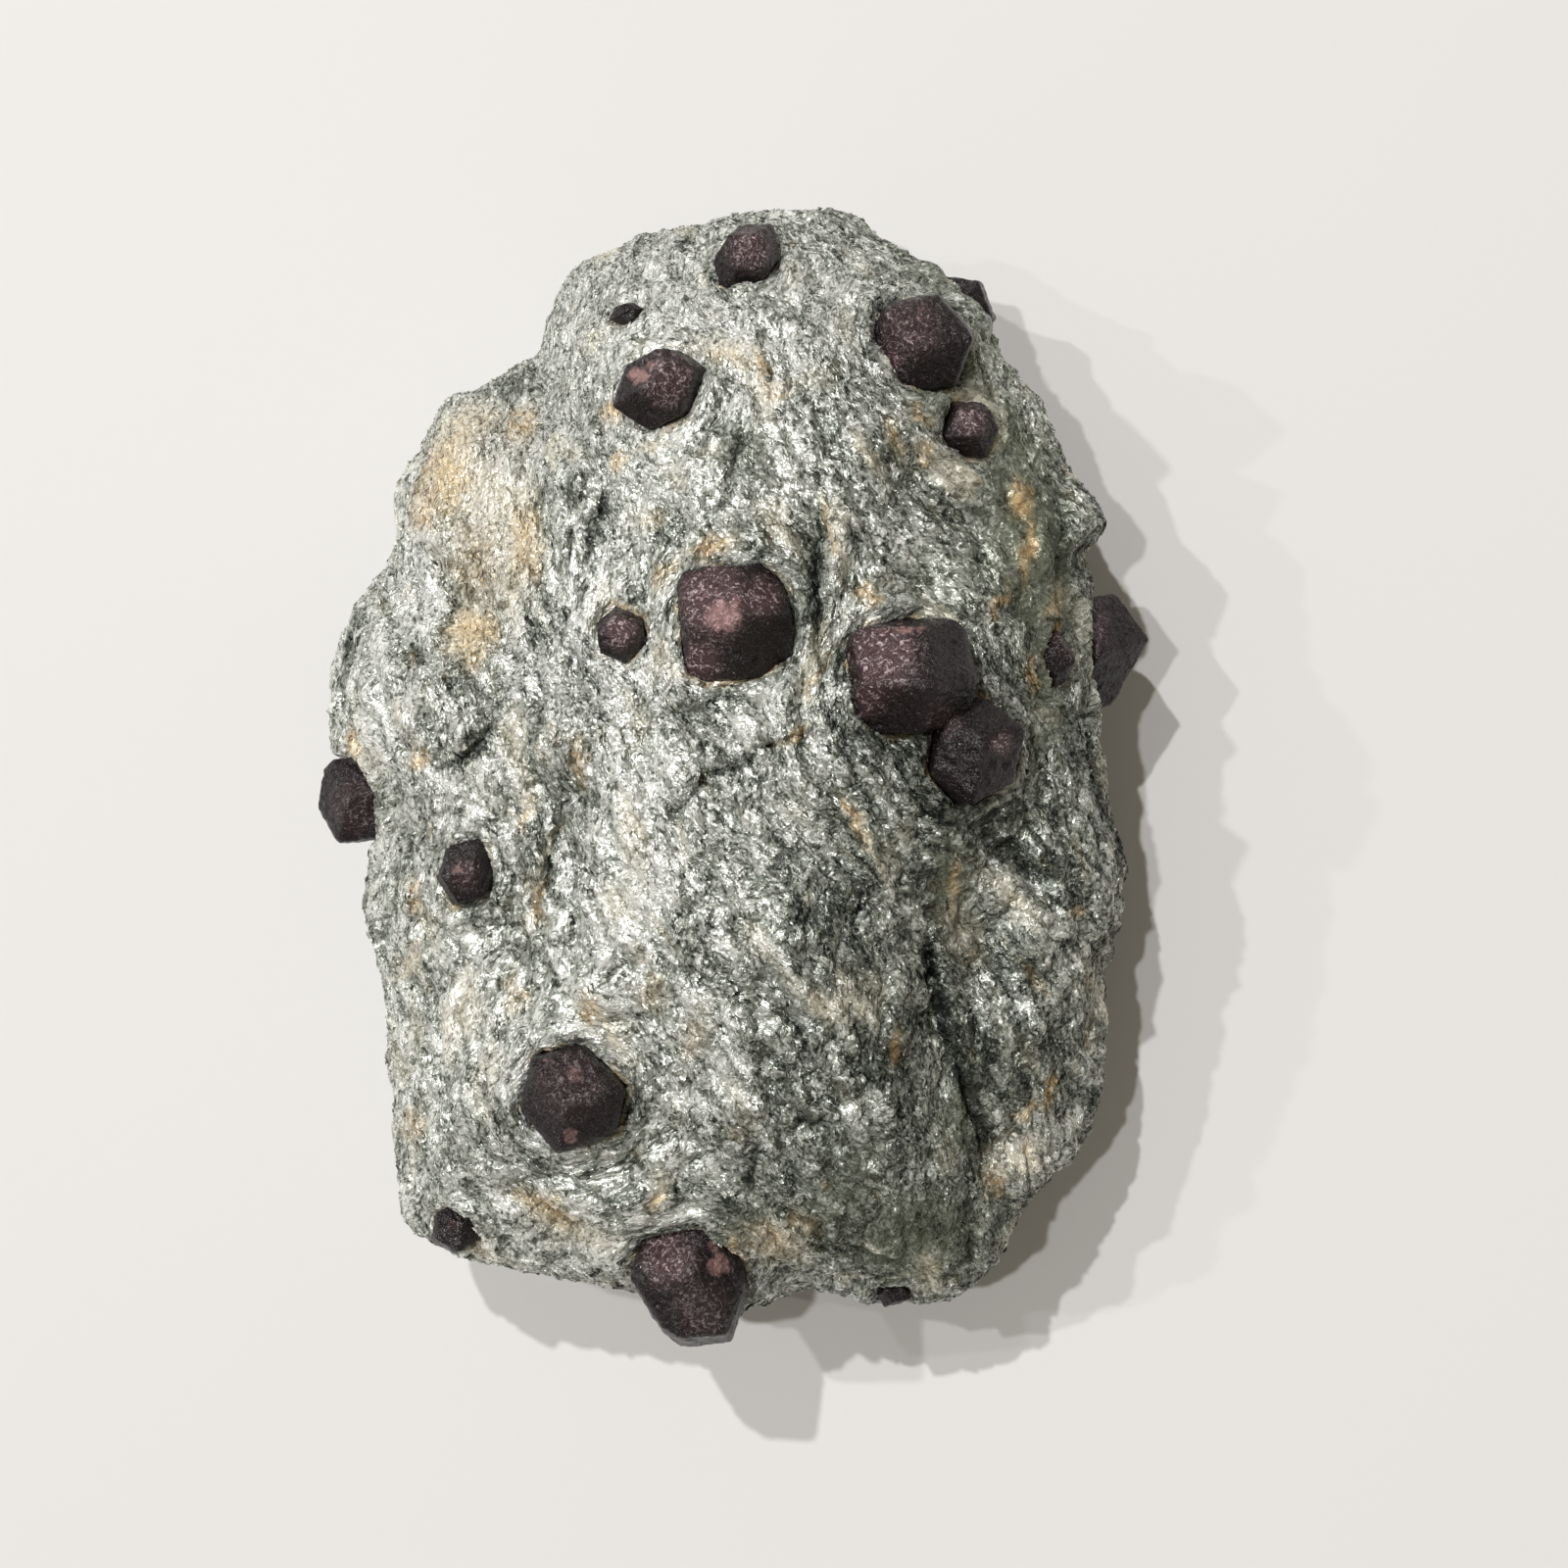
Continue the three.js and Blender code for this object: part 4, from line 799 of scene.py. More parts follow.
SAGE = [
    [38.0, 30.0, 16.0, 6.0, 100, 1.0], [30.0, 52.5, 8.0, 4.0, 50, 0.8], [27.5, 24.5, 8.0, 5.0, 90, 0.5],
    [36.0, 46.0, 12.0, 3.0, 125, 1.0], [27.0, 68.0, 8.0, 2.4, 145, 0.8], [28.5, -14.0, 6.5, 3.4, 90, 1.0],
    [40.0, 10.0, 8.0, 2.6, 95, 0.8], [24.0, -60.0, 9.0, 7.0, 0, 0.9], [28.5, -45.0, 6.0, 3.0, 90, 0.8],
    [14.0, -53.0, 8.0, 4.0, 60, 0.6], [2.6, -58.0, 4.0, 3.0, 0, 0.5], [3.0, 42.0, 3.6, 3.4, 0, 0.2],
]


def outline_reach(turn):
    """Reach of the outline each way: its points in polar form, joined by cubics whose slope at a
    point is the slope between its two neighbours."""
    turns = np.arctan2(OUTLINE[:, 1], OUTLINE[:, 0])
    order = np.argsort(turns)
    laps = np.repeat([-2 * math.pi, 0, 2 * math.pi], len(turns))
    turns = np.tile(turns[order], 3) + laps
    reach = np.tile(np.hypot(*OUTLINE.T)[order], 3)
    slope = np.zeros(len(turns))
    slope[1:-1] = (reach[2:] - reach[:-2]) / (turns[2:] - turns[:-2])
    k = np.searchsorted(turns, turn, side="right") - 1
    span = turns[k + 1] - turns[k]
    t = (turn - turns[k]) / span
    blend = t * t * (3 - 2 * t)
    lean = slope[k] * t * (1 - t) ** 2 - slope[k + 1] * t * t * (1 - t)
    return reach[k] + (reach[k + 1] - reach[k]) * blend + span * lean


def along_and_across(x, y, cx, cy, turn):
    """Places measured from (cx, cy), along a direction and to the left of it."""
    turn = math.radians(turn)
    along = (x - cx) * math.cos(turn) + (y - cy) * math.sin(turn)
    across = (y - cy) * math.cos(turn) - (x - cx) * math.sin(turn)
    return along, across


def lumps_and_steps(x, y):
    """Sum of bell-shaped lumps, less steps that are sharp at their line and fade out below it."""
    height = np.zeros(x.shape)
    for cx, cy, rise, half_length, half_width, turn in LUMPS:
        u, v = along_and_across(x, y, cx, cy, turn)
        height += rise * np.exp(-0.5 * ((u / half_length) ** 2 + (v / half_width) ** 2))
    for cx, cy, drop, turn, half_length, fade in STEPS:
        u, v = along_and_across(x, y, cx, cy, turn)
        edge = 1 / (1 + np.exp(np.clip(v / STEP_SOFTNESS, -40, 40)))
        height -= drop * np.exp(-(u / half_length) ** 4) * edge * np.exp(-np.maximum(-v, 0) / fade)
    return height


def rim_height(turn):
    """Height of the widest line: it is lower on the right, and has two kinds of waves."""
    two, five = RIM_WAVES
    height = RIM_HEIGHT - RIM_LEAN * np.cos(turn) + two * np.sin(2 * turn + 0.6)
    return height + five * np.sin(5 * turn)


def foot_share(turn):
    """The resting face's reach as a share of the outline: its edge wanders in two waves."""
    three, five = FOOT_WAVES
    return FOOT_SHARE + three * np.sin(3 * turn + 1) + five * np.sin(5 * turn + 2)


def skin(turn, share, is_back):
    """A point of the plain skin: share is 0 at the middle and 1 on the widest line.

    The back is the rim's height plus a dome (1 - share^2)^power plus lumps; the under side curves
    from the flat foot up to the rim. The flanks get ribs that dip round the lump, and each broken
    face presses what lies past its plane back onto it, less and less towards the rim.
    """
    rim, foot = rim_height(turn), foot_share(turn)
    t = np.clip((share - foot) / (1 - foot), 0, 1)
    half_width, half_length = FOOT_ROUND
    most, power = FOOT_OVAL
    oval = np.abs(np.cos(turn) / half_width) ** power + np.abs(np.sin(turn) / half_length) ** power
    plain = 0 if is_back else most * (1 - t ** 1.5)
    reach = share * (outline_reach(turn) * (1 - plain) + oval ** (-1 / power) * plain)
    x, y = reach * np.cos(turn), reach * np.sin(turn)
    if is_back:
        dome = (CREST_HEIGHT - rim) * np.maximum(1 - share * share, 0) ** SHOULDER_POWER
        z = rim + dome + (1 - share ** 8) * lumps_and_steps(x, y)
        begin, fade_in = RIBS_START
        press, hold = np.maximum(0, share - begin) / fade_in, share ** 10
    else:
        inner, outer = UNDERCUT
        z = rim * (1 - (1 - t ** inner) ** outer)
        press, hold = t, np.where(t > 0, t ** 5, 1)
    broad, narrow, ledge = RIB_RISES
    ribs = broad * np.sin(7 * turn + 0.3 * z) + narrow * np.sin(12 * turn - 0.45 * z + 1)
    ribs = ribs + ledge * np.sin(0.8 * z + 2 * np.sin(3 * turn))
    shift = ribs * press * press * (1 - 0.75 * share ** 12)
    points = np.stack([x + shift * np.cos(turn), y + shift * np.sin(turn), z], -1)
    for compass, dip, distance in BREAKS:
        a, b = math.radians(compass), math.radians(dip)
        normal = np.array([math.cos(a) * math.cos(b), math.sin(a) * math.cos(b), math.sin(b)])
        past = (points - LUMP_MIDDLE) @ normal - distance
        pressed = 0.5 * (past + np.hypot(past, BREAK_ROUNDING)) * (1 - hold)
        points = points - pressed[..., None] * normal
    return points


def lump_grid(cells_across, cells_along, rows_above, rows_below, foot_rings):
    """The lump's closed skin on a square grid bent into a disc for the back, then rings down the
    flank, in over the foot and shut at its middle.

    Returns points, rows of four corners, and the triangles that shut the foot.
    """
    a, b = np.meshgrid(
        np.linspace(-1, 1, cells_across + 1), np.linspace(-1, 1, cells_along + 1), indexing="ij")
    out = np.where(np.abs(a) > np.abs(b), a, b)
    safe = np.where(out == 0, 1, out)
    bend = np.where(
        np.abs(a) > np.abs(b), math.pi / 4 * b / safe, math.pi / 2 - math.pi / 4 * a / safe)
    turn = np.where(out < 0, bend + math.pi, bend)
    turn = np.arctan2(np.sin(turn), np.cos(turn))
    back = skin(turn, np.abs(out) * TOP_EDGE, True).reshape(-1, 3)
    index = np.arange(a.size).reshape(a.shape)
    quads = [np.stack([index[:-1, :-1], index[1:, :-1], index[1:, 1:], index[:-1, 1:]], -1).reshape(-1, 4)]

    ring = np.concatenate([index[:-1, 0], index[-1, :-1], index[:0:-1, -1], index[0, :0:-1]])
    ring_turn = turn.ravel()[ring]
    start = math.asin(TOP_EDGE)
    rings = []
    for row in range(1, rows_above + 1):
        share = math.sin(start + (math.pi / 2 - start) * row / rows_above)
        rings.append(skin(ring_turn, np.full(ring_turn.shape, share), True))
    foot = foot_share(ring_turn)
    for row in range(1, rows_below + 1):
        t = 1 - (row / rows_below) ** 1.15
        rings.append(skin(ring_turn, foot + (1 - foot) * t, False))
    for row in range(1, foot_rings):
        rings.append(skin(ring_turn, foot * (1 - row / foot_rings), False))
    points = np.concatenate([back, *rings, np.zeros((1, 3))])
    last = ring
    for row in range(len(rings)):
        this = len(back) + row * len(ring) + np.arange(len(ring))
        quads.append(np.stack([last, this, np.roll(this, -1), np.roll(last, -1)], -1))
        last = this
    middle = np.full(len(ring), len(points) - 1)
    fan = np.stack([last, middle, np.roll(last, -1)], -1)
    return points, np.concatenate(quads), fan


garnet_bodies = [
    (np.array(row[1:4]), row[4], *crystal_faces(row, crystal))
    for crystal, row in enumerate(GARNETS + GARNET_PAIR)]


def garnet_distance(points):
    """Distance outside the nearest garnet's main faces, in millimetres, negative inside."""
    nearest = np.full(len(points), 99.0)
    for middle, size, normals, distances in garnet_bodies:
        near = np.abs(points - middle).max(axis=1) < size + 8
        past = (points[near] - middle) @ normals[:MAIN_FACES].T - distances[:MAIN_FACES]
        outside = past.max(axis=1)
        nearest[near] = np.minimum(nearest[near], outside)
    return nearest


def grain_across(x, y, z):
    """How far across the grain a place lies: lines of equal value run along the mica's grain.

    The grain leans left of straight up, more at the right, and flows round each garnet as water
    does round a post: a place keeps its value less its part beyond the post times a^2 / r^2.
    Garnets low in the flanks don't reach the back, so they take no part, and the flow fades out
    under the widest line.
    """
    lean, change = GRAIN_LEAN
    slope = lean + change * np.tanh((x + 18) / 22)
    across = (x + slope * y) / np.sqrt(1 + slope ** 2)
    flow = np.zeros(x.shape)
    for middle, size, _, _ in garnet_bodies:
        if middle[2] < FLANK_BELOW:
            continue
        dx, dy = x - middle[0], y - middle[1]
        reach = 1.15 * size
        part = (dx + slope * dy) / np.sqrt(1 + slope ** 2)
        flow += part * reach ** 2 / np.maximum(dx * dx + dy * dy, reach ** 2)
    return across - flow * np.clip((z - 8) / 6, 0, 1)


def grain_place(points):
    """Each point in the grain's own measure: across it, along it and up, with a slow wander."""
    x, y, z = points.T
    stray, reach = GRAIN_WANDER
    wander = stray * lattice_noise(points / reach, 3)
    stray, reach = FINE_WANDER
    wander = wander + stray * lattice_noise(points / reach, 4)
    return np.stack([grain_across(x, y, z) + wander, (y - 0.4 * x) / 1.08, z], -1)


def plan_distance(points, line):
    """Distance in plan to a run of straight stretches, and the share of the way along it."""
    line = np.array(line, float)
    lengths = np.linalg.norm(np.diff(line, axis=0), axis=1)
    begun = np.concatenate([[0], np.cumsum(lengths)])
    best = np.full(len(points), 1e9)
    share = np.zeros(len(points))
    for start, end, length, before in zip(line[:-1], line[1:], lengths, begun):
        t = np.clip((points[:, :2] - start) @ (end - start) / length ** 2, 0, 1)
        away = np.linalg.norm(points[:, :2] - start - t[:, None] * (end - start), axis=1)
        closer = away < best
        best = np.where(closer, away, best)
        share = np.where(closer, (before + t * length) / begun[-1], share)
    return best, share


def crack_depth(points):
    """Depth in millimetres of the listed cracks, less the height of the ridges. Their lines
    waver by noise, and their ends are shallow."""
    stray, reach = CRACK_WAVER
    waver = np.stack([lattice_noise(points / reach, 17), lattice_noise(points / reach, 18)], -1)
    places = points[:, :2] + stray * waver
    total = np.zeros(len(points))
    for depth, half_width, line in FOLDS:
        near = np.all(places > np.min(line, axis=0) - 4 * half_width, axis=1)
        near &= np.all(places < np.max(line, axis=0) + 4 * half_width, axis=1)
        away, share = plan_distance(places[near], line)
        taper = np.clip(5 * share * (1 - share), SHALLOW_END, 1)
        total[near] += depth * taper * np.exp(-(away / half_width) ** 2)
    return total


def above_foot(points):
    """How far a point lies above the resting face, from 0 to 1 over the first few millimetres."""
    return np.clip(points[:, 2] / FOOT_FADE, 0, 1)


def upper_end(points):
    """How far into the calmer upper end a point lies, from 0 to 1."""
    start, reach = UPPER_END
    return np.clip((points[:, 1] - start) / reach, 0, 1)


def fold_relief(points, normals):
    """Coarse relief in millimetres: billows crinkled along the grain on the back, edges of sheets
    on the flanks, listed cracks and ridges, and the sheets' lip and gap at each garnet.

    Billows, crinkles and sheets are folded noise, so their valleys are sharp. The relief is held
    nearly still against a garnet.
    """
    grain = grain_place(points)
    facing_up = np.clip(normals[:, 2], 0, 1)
    back = facing_up ** 0.7
    swell = SWELL_RISE * lattice_noise(grain / SWELL_REACH, 11)
    billow = np.abs(lattice_noise(grain / BILLOW_REACH, BILLOW_SEED)) ** FOLD_POWER
    crinkle = np.abs(lattice_noise(grain / CRINKLE_REACH, 13)) ** FOLD_POWER
    wave = lattice_noise(points / FLANK_WAVE_REACH, 14)[:, None] * FLANK_WAVE
    flank_place = points / FLANK_STRETCH + wave
    sheets = np.abs(lattice_noise(flank_place / BROKEN_SHEET_REACH, 15)) ** FOLD_POWER
    thin_sheets = np.abs(lattice_noise(flank_place / THIN_SHEET_REACH, 16)) ** FOLD_POWER
    calm = 1 - UPPER_CALM * upper_end(points)
    relief = swell + back * calm * (BILLOW_RISE * billow + CRINKLE_RISE * crinkle - BACK_REST)
    relief += (1 - back) * (BROKEN_SHEET_RISE * sheets + THIN_SHEET_RISE * thin_sheets - FLANK_REST)

    relief -= crack_depth(points) * facing_up ** 0.5
    outside = garnet_distance(points)
    height, away, reach = LIP
    lip = height * np.exp(-((outside - away) / reach) ** 2)
    depth, reach = GAP
    gap = depth * np.exp(-(np.maximum(outside, 0) / reach) ** 2)
    most, reach = HELD
    held = 1 - most * np.exp(-(np.maximum(outside, 0) / reach) ** 2)
    return relief * held + lip - gap


def sheet_level(grain):
    """How many thin sheets lie below a place: slow noise along the grain and a finer one on it."""
    slow, fine = SHEET_WAVES
    waves = slow * lattice_noise(grain / SHEET_REACH, 21)
    return waves + fine * lattice_noise(grain / SHEET_EDGE_REACH, 22)


def sheet_relief(points):
    """Fine relief in millimetres: broken edges of thin sheets, as a sawtooth of slow noise, and a
    grain of single flakes."""
    grain = grain_place(points)
    level = sheet_level(grain)
    sheets = level - np.floor(level)
    flakes = lattice_noise(grain / FLAKE_GRAIN_REACH, 23)
    return SHEET_STEP * sheets + FLAKE_GRAIN_RISE * flakes


def move_points(piece, points):
    """Puts a piece's vertices at new places, in millimetres."""
    piece.data.vertices.foreach_set("co", ((points + LUMP_SHIFT) * MM).astype(np.float32).ravel())
    piece.data.update()


def lump_piece():
    """The lump's mesh: the plain skin, pushed out by the coarse and then the fine relief, held
    flat at the foot, with a socket cut for every garnet."""
    points, quads, fan = lump_grid(*BACK_CELLS, *FLANK_ROWS, FOOT_RINGS)
    triangles = np.concatenate([quads[:, [0, 1, 2]], quads[:, [0, 2, 3]], fan])
    piece = mesh_piece("schist_lump", points, triangles)
    relief = fold_relief(points, vertex_normals(piece))
    above = above_foot(points)
    points = points + vertex_normals(piece) * (relief * above)[:, None]
    move_points(piece, points)
    points = points + vertex_normals(piece) * (sheet_relief(points) * above)[:, None]
    points[:, 2] = np.maximum(points[:, 2], 0)
    move_points(piece, points)
    sockets = [
        mesh_piece("socket", *garnet_mesh(row, crystal, SOCKET_GAP, SOCKET_DETAIL))
        for crystal, row in enumerate(GARNETS + GARNET_PAIR)]
    cut_or_join(piece, sockets, "DIFFERENCE")
    return piece


def patch_field(points, patches, seed, outline_wander=1.1):
    """Strength of a finish at each point: the strongest of its oval patches there, whose edges
    wander by noise."""
    wander = np.stack([lattice_noise(points / 2.6, seed), lattice_noise(points / 2.6, seed + 1)], -1)
    x, y = (points[:, :2] + outline_wander * wander).T
    field = np.zeros(len(points))
    for cx, cy, half_length, half_width, turn, strength in patches:
        u, v = along_and_across(x, y, cx, cy, turn)
        away = (u / half_length) ** 2 + (v / half_width) ** 2
        field = np.maximum(field, strength * np.exp(-away ** 1.5))
    return field


def rock_finish(points):
    """The rock's finish at each point, each from 0 to 1: rust, cream, silver (partly painted sheen), dark
    (partly painted shade) and sage.

    Patches are placed for the back. Slow noise strays over the whole lump and brings in the same
    finishes on the flanks and the under side: a stray finish is the part of the noise that passes
    a level. A thin line of rust follows the edge of most garnets.
    """
    height, reach = BACK_FROM
    on_back = np.clip((points[:, 2] - height) / reach, 0, 1)
    grain = grain_place(points)
    slow = lattice_noise(grain / STRAY_REACH, 31)
    streak = lattice_noise(grain / STREAK_REACH, 32)
    away, reach = RIM_RUST
    rim = np.exp(-((garnet_distance(points) - away) / reach) ** 2)
    rim_rust = rim * np.clip(0.1 + 1.5 * lattice_noise(points / 3.2, 33), 0, 0.8)
    stray_rust = np.clip(2.4 * streak - 1.25, 0, 0.6) * (0.4 + 0.6 * (1 - on_back))
    stray_rust = stray_rust * above_foot(points)
    rust = np.maximum(patch_field(points, RUSTY, 34) * on_back, np.maximum(rim_rust, stray_rust))
    stray_cream = np.clip(2.2 * slow - 0.8, 0, 0.6)
    cream = np.maximum(patch_field(points, CREAMY, 36) * on_back, stray_cream)
    silvery, dark, sage = (
        patch_field(points, patches, seed, wander) * on_back
        for patches, seed, wander in [(SILVER_AND_SHEEN_PATCHES, 38, 1.8), (DARK_AND_SHADE_PATCHES, 40, 1.6), (SAGE, 42, 1.6)])
    silver = np.clip(silvery + STRAY_SHARE * slow, 0, 1)
    dark = np.clip(dark - STRAY_SHARE * slow, 0, 1)
    sage = np.clip(sage, 0, 1)
    return {"rust": rust, "cream": cream, "silver": silver, "dark": dark, "sage": sage}


def mica_tone(points, finish):
    """How pale the mica is at each point, from 0 dark chlorite to 1 silver muscovite: the finish's
    patches, partly painted sheen and painted shade, streaks along the grain, and painted shade in cracks,
    in creases and under the sheets' steps.

    The mica is paler towards its left side and its upper end, and the pattern is
    calmer on the upper end and fades out on the resting face.
    """
    grain = grain_place(points)
    leftward = LEFT_TONE * np.tanh((4 - points[:, 0]) / 14)
    streaks = STREAK_TONE * lattice_noise(grain / [2.6, 7.5, 4], 45)
    streaks += FINE_STREAK_TONE * lattice_noise(grain / [1.2, 3.6, 1.6], 46)
    # Painted shade: darker in the billows' valleys, at the foot of each sheet's step and in the cracks.
    crease_shade = np.exp(-(lattice_noise(grain / BILLOW_REACH, BILLOW_SEED) / 0.10) ** 2)
    level = sheet_level(grain)
    edge = np.exp(-((level - np.floor(level)) / 0.10) ** 2)
    crack_shade = np.clip(crack_depth(points), 0, 1)
    upward = UPPER_TONE * upper_end(points)
    patches = SILVER_AND_SHEEN_TONE * finish["silver"] - DARK_AND_SHADE_TONE * finish["dark"]
    patches = patches - SAGE_TONE * finish["sage"] + upward
    calm = 1 - UPPER_EVENNESS * upper_end(points)
    calm = calm * (FOOT_TONE_SHARE + (1 - FOOT_TONE_SHARE) * above_foot(points))
    detail = calm * (streaks - PAINTED_CREASE_SHADE * crease_shade - PAINTED_STEP_SHADE * edge)
    return MIDDLE_TONE + leftward + patches + detail - PAINTED_CRACK_SHADE * crack_shade


def tilted_cells(tree, place, size):
    """Cells of the given sizes in millimetres: each one's random colour parts, and a height that
    rises across the cell in the cell's own random direction."""
    shrink = tuple(1 / length for length in size)
    scaled = add_node(tree, "ShaderNodeMapping", {
        "Vector": place, "Scale": shrink}, vector_type="POINT").outputs["Vector"]
    cells = add_node(tree, "ShaderNodeTexVoronoi", {"Vector": scaled, "Scale": 1, "Randomness": 0.95})
    offset = add_node(tree, "ShaderNodeVectorMath", {
        0: scaled, 1: cells.outputs["Position"]}, operation="SUBTRACT")
    lean = add_node(tree, "ShaderNodeVectorMath", {
        0: cells.outputs["Color"], 1: (0.5, 0.5, 0.5)}, operation="SUBTRACT")
    height = add_node(tree, "ShaderNodeVectorMath", {
        0: offset.outputs["Vector"], 1: lean.outputs["Vector"]}, operation="DOT_PRODUCT")
    parts = add_node(tree, "ShaderNodeSeparateColor", {"Color": cells.outputs["Color"]})
    return parts.outputs, height.outputs["Value"]


def mica_finish(name, roughness):
    """Split mica: sage-grey sheets of muscovite and chlorite, whose pearly shine is partly metallic
    where no stain dulls it. The sheets are crumpled like foil into facets 1.1 mm across and 2.4 mm
    along the grain, and single flakes show on them as cells under a third of that, each tilted its own
    way. Real flakes go down to a tenth of a millimetre: these are as coarse as they need to be to
    show."""
    material = bpy.data.materials.new(name)
    material.use_nodes = True
    tree = material.node_tree
    tree.nodes.clear()
    grain = add_node(tree, "ShaderNodeAttribute", attribute_name="grain").outputs["Vector"]
    tone, rust, cream, sage = (
        add_node(tree, "ShaderNodeAttribute", attribute_name=attribute).outputs["Fac"]
        for attribute in ("tone", "rust", "cream", "sage"))
    # Curls 2 mm across bend every line of the pattern by up to a millimetre.
    curls = add_node(tree, "ShaderNodeTexNoise", {
        "Vector": grain, "Scale": 1 / CURL_SIZE, "Detail": 2})
    bend = add_node(tree, "ShaderNodeVectorMath", {
        0: curls.outputs["Color"], 1: (0.5, 0.5, 0.5)}, operation="SUBTRACT")
    curled = add_node(tree, "ShaderNodeVectorMath", {
        0: bend.outputs["Vector"], 1: (2.0, 2.0, 2.0), 2: grain},
        operation="MULTIPLY_ADD").outputs["Vector"]
    facets, facet_heights = tilted_cells(tree, curled, FACET_SIZE)
    flakes, flake_heights = tilted_cells(tree, curled, FLAKE_SIZE)
    wrinkle_place = add_node(tree, "ShaderNodeMapping", {
        "Vector": curled, "Scale": tuple(1 / length for length in WRINKLE_SIZE)},
        vector_type="POINT").outputs["Vector"]
    wrinkles = add_node(tree, "ShaderNodeTexNoise", {
        "Vector": wrinkle_place, "Scale": 1, "Detail": 3, "Distortion": 1.2}).outputs["Fac"]
    # Painted shade of hair cracks: dark lines along the level lines of a slower noise.
    slower = add_node(tree, "ShaderNodeTexNoise", {
        "Vector": curled, "Scale": CRACKS_TO_A_MM, "Detail": 3, "Distortion": 1.0})
    off_line = add_node(tree, "ShaderNodeMath", {
        0: slower.outputs["Fac"], 1: 0.5}, operation="SUBTRACT")
    away = add_node(tree, "ShaderNodeMath", {0: off_line.outputs[0]}, operation="ABSOLUTE")
    crack_shade = add_node(tree, "ShaderNodeMapRange", {
        "Value": away.outputs[0], "From Max": 0.02, "To Min": 1.0, "To Max": 0.0}).outputs["Result"]
    # Shade: the tone, varied facet by facet and flake by flake, with painted light on the wrinkles' crests,
    # painted shade in their dips and painted shade in hair cracks.
    crest_shading = add_node(tree, "ShaderNodeMapRange", {
        "Value": wrinkles, "From Min": 0.3, "From Max": 0.7,
        "To Min": -PAINTED_CREST_SHADING, "To Max": PAINTED_CREST_SHADING}).outputs["Result"]
    shade = tone
    shares = [
        (crest_shading, 1.0), (facets["Red"], FACET_SHADE), (flakes["Red"], FLAKE_SHADE),
        (crack_shade, PAINTED_HAIR_CRACK_SHADE)]
    for value, share in shares:
        shade = add_node(tree, "ShaderNodeMath", {
            0: value, 1: share, 2: shade}, operation="MULTIPLY_ADD").outputs[0]
    colour = linear(CHLORITE_DARK)
    for low, high, paler in MICA_SHADES:
        step = add_node(tree, "ShaderNodeMapRange", {"Value": shade, "From Min": low, "From Max": high})
        colour = add_node(tree, "ShaderNodeMix", {
            0: step.outputs["Result"], 6: colour, 7: linear(paler)}, data_type="RGBA").outputs[2]
    # Stains let the shade through: sage chlorite, cream dust and pale ochre rust, browner in dips.
    dip = add_node(tree, "ShaderNodeMapRange", {"Value": wrinkles, "From Min": 0.35, "From Max": 0.6})
    rust_colour = add_node(tree, "ShaderNodeMix", {
        0: dip.outputs["Result"], 6: linear(RUST_IN_DIPS), 7: linear(RUST_ON_CRESTS)},
        data_type="RGBA").outputs[2]
    rust_colour = add_node(tree, "ShaderNodeMix", {
        0: cream, 6: rust_colour, 7: linear(RUSTY_CREAM)}, data_type="RGBA").outputs[2]
    stains = [
        (sage, SAGE_COVER, linear(CHLORITE_SAGE)), (cream, CREAM_COVER, linear(CREAM_DUST)),
        (rust, RUST_COVER, rust_colour)]
    for strength, cover, stain in stains:
        share = add_node(tree, "ShaderNodeMath", {0: strength, 1: cover}, operation="MULTIPLY")
        colour = add_node(tree, "ShaderNodeMix", {
            0: share.outputs[0], 6: colour, 7: stain}, data_type="RGBA").outputs[2]
    # Facets tilt by up to 20 degrees, and flakes by up to 22 degrees more.
    reliefs = [
        (flake_heights, FLAKE_DEPTH_STEP), (facet_heights, FACET_DEPTH_STEP),
        (wrinkles, WRINKLE_DEPTH_STEP)]
    normal = None
    for height, depth in reliefs:
        inputs = {"Height": height, "Strength": 1.0, "Distance": depth}
        if normal:
            inputs["Normal"] = normal
        normal = add_node(tree, "ShaderNodeBump", inputs).outputs["Normal"]
    # Flakes differ in polish, and stained ones lose the metallic part of their shine.
    rough = add_node(tree, "ShaderNodeMapRange", {
        "Value": flakes["Green"], "To Min": roughness, "To Max": roughness + ROUGHNESS_SPREAD})
    stained = add_node(tree, "ShaderNodeMath", {0: rust, 1: cream}, operation="MAXIMUM")
    clean_shine, stained_shine = METALLIC_SHINE
    shine = add_node(tree, "ShaderNodeMapRange", {
        "Value": stained.outputs[0], "To Min": clean_shine, "To Max": stained_shine})
    surface = add_node(tree, "ShaderNodeBsdfPrincipled", {
        "Base Color": colour, "Roughness": rough.outputs["Result"], "IOR": MICA_IOR,
        "Metallic": shine.outputs["Result"], "Normal": normal})
    add_node(tree, "ShaderNodeOutputMaterial", {"Surface": surface.outputs["BSDF"]})
    return material


lump = lump_piece()
lump_points = piece_points(lump)
lump_finish = rock_finish(lump_points)
set_attribute(lump, "grain", grain_place(lump_points))
for finish_name in ("rust", "cream", "sage"):
    set_attribute(lump, finish_name, lump_finish[finish_name])
set_attribute(lump, "tone", mica_tone(lump_points, lump_finish))
lump.data.materials.clear()
lump.data.materials.append(mica_finish("mica_schist", ROCK_ROUGHNESS))
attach(lump, "root")
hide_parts("schist_matrix")

# ---- Mica flakes ----
# Muscovite and chlorite in single flakes, mostly 0.3 to 1.5 mm long, nearly flat in the sheets.
# Their length follows the grain and each is tilted a little its own way, so that together they
# glitter. Each flake is a small closed wedge whose point is sunk in the rock.

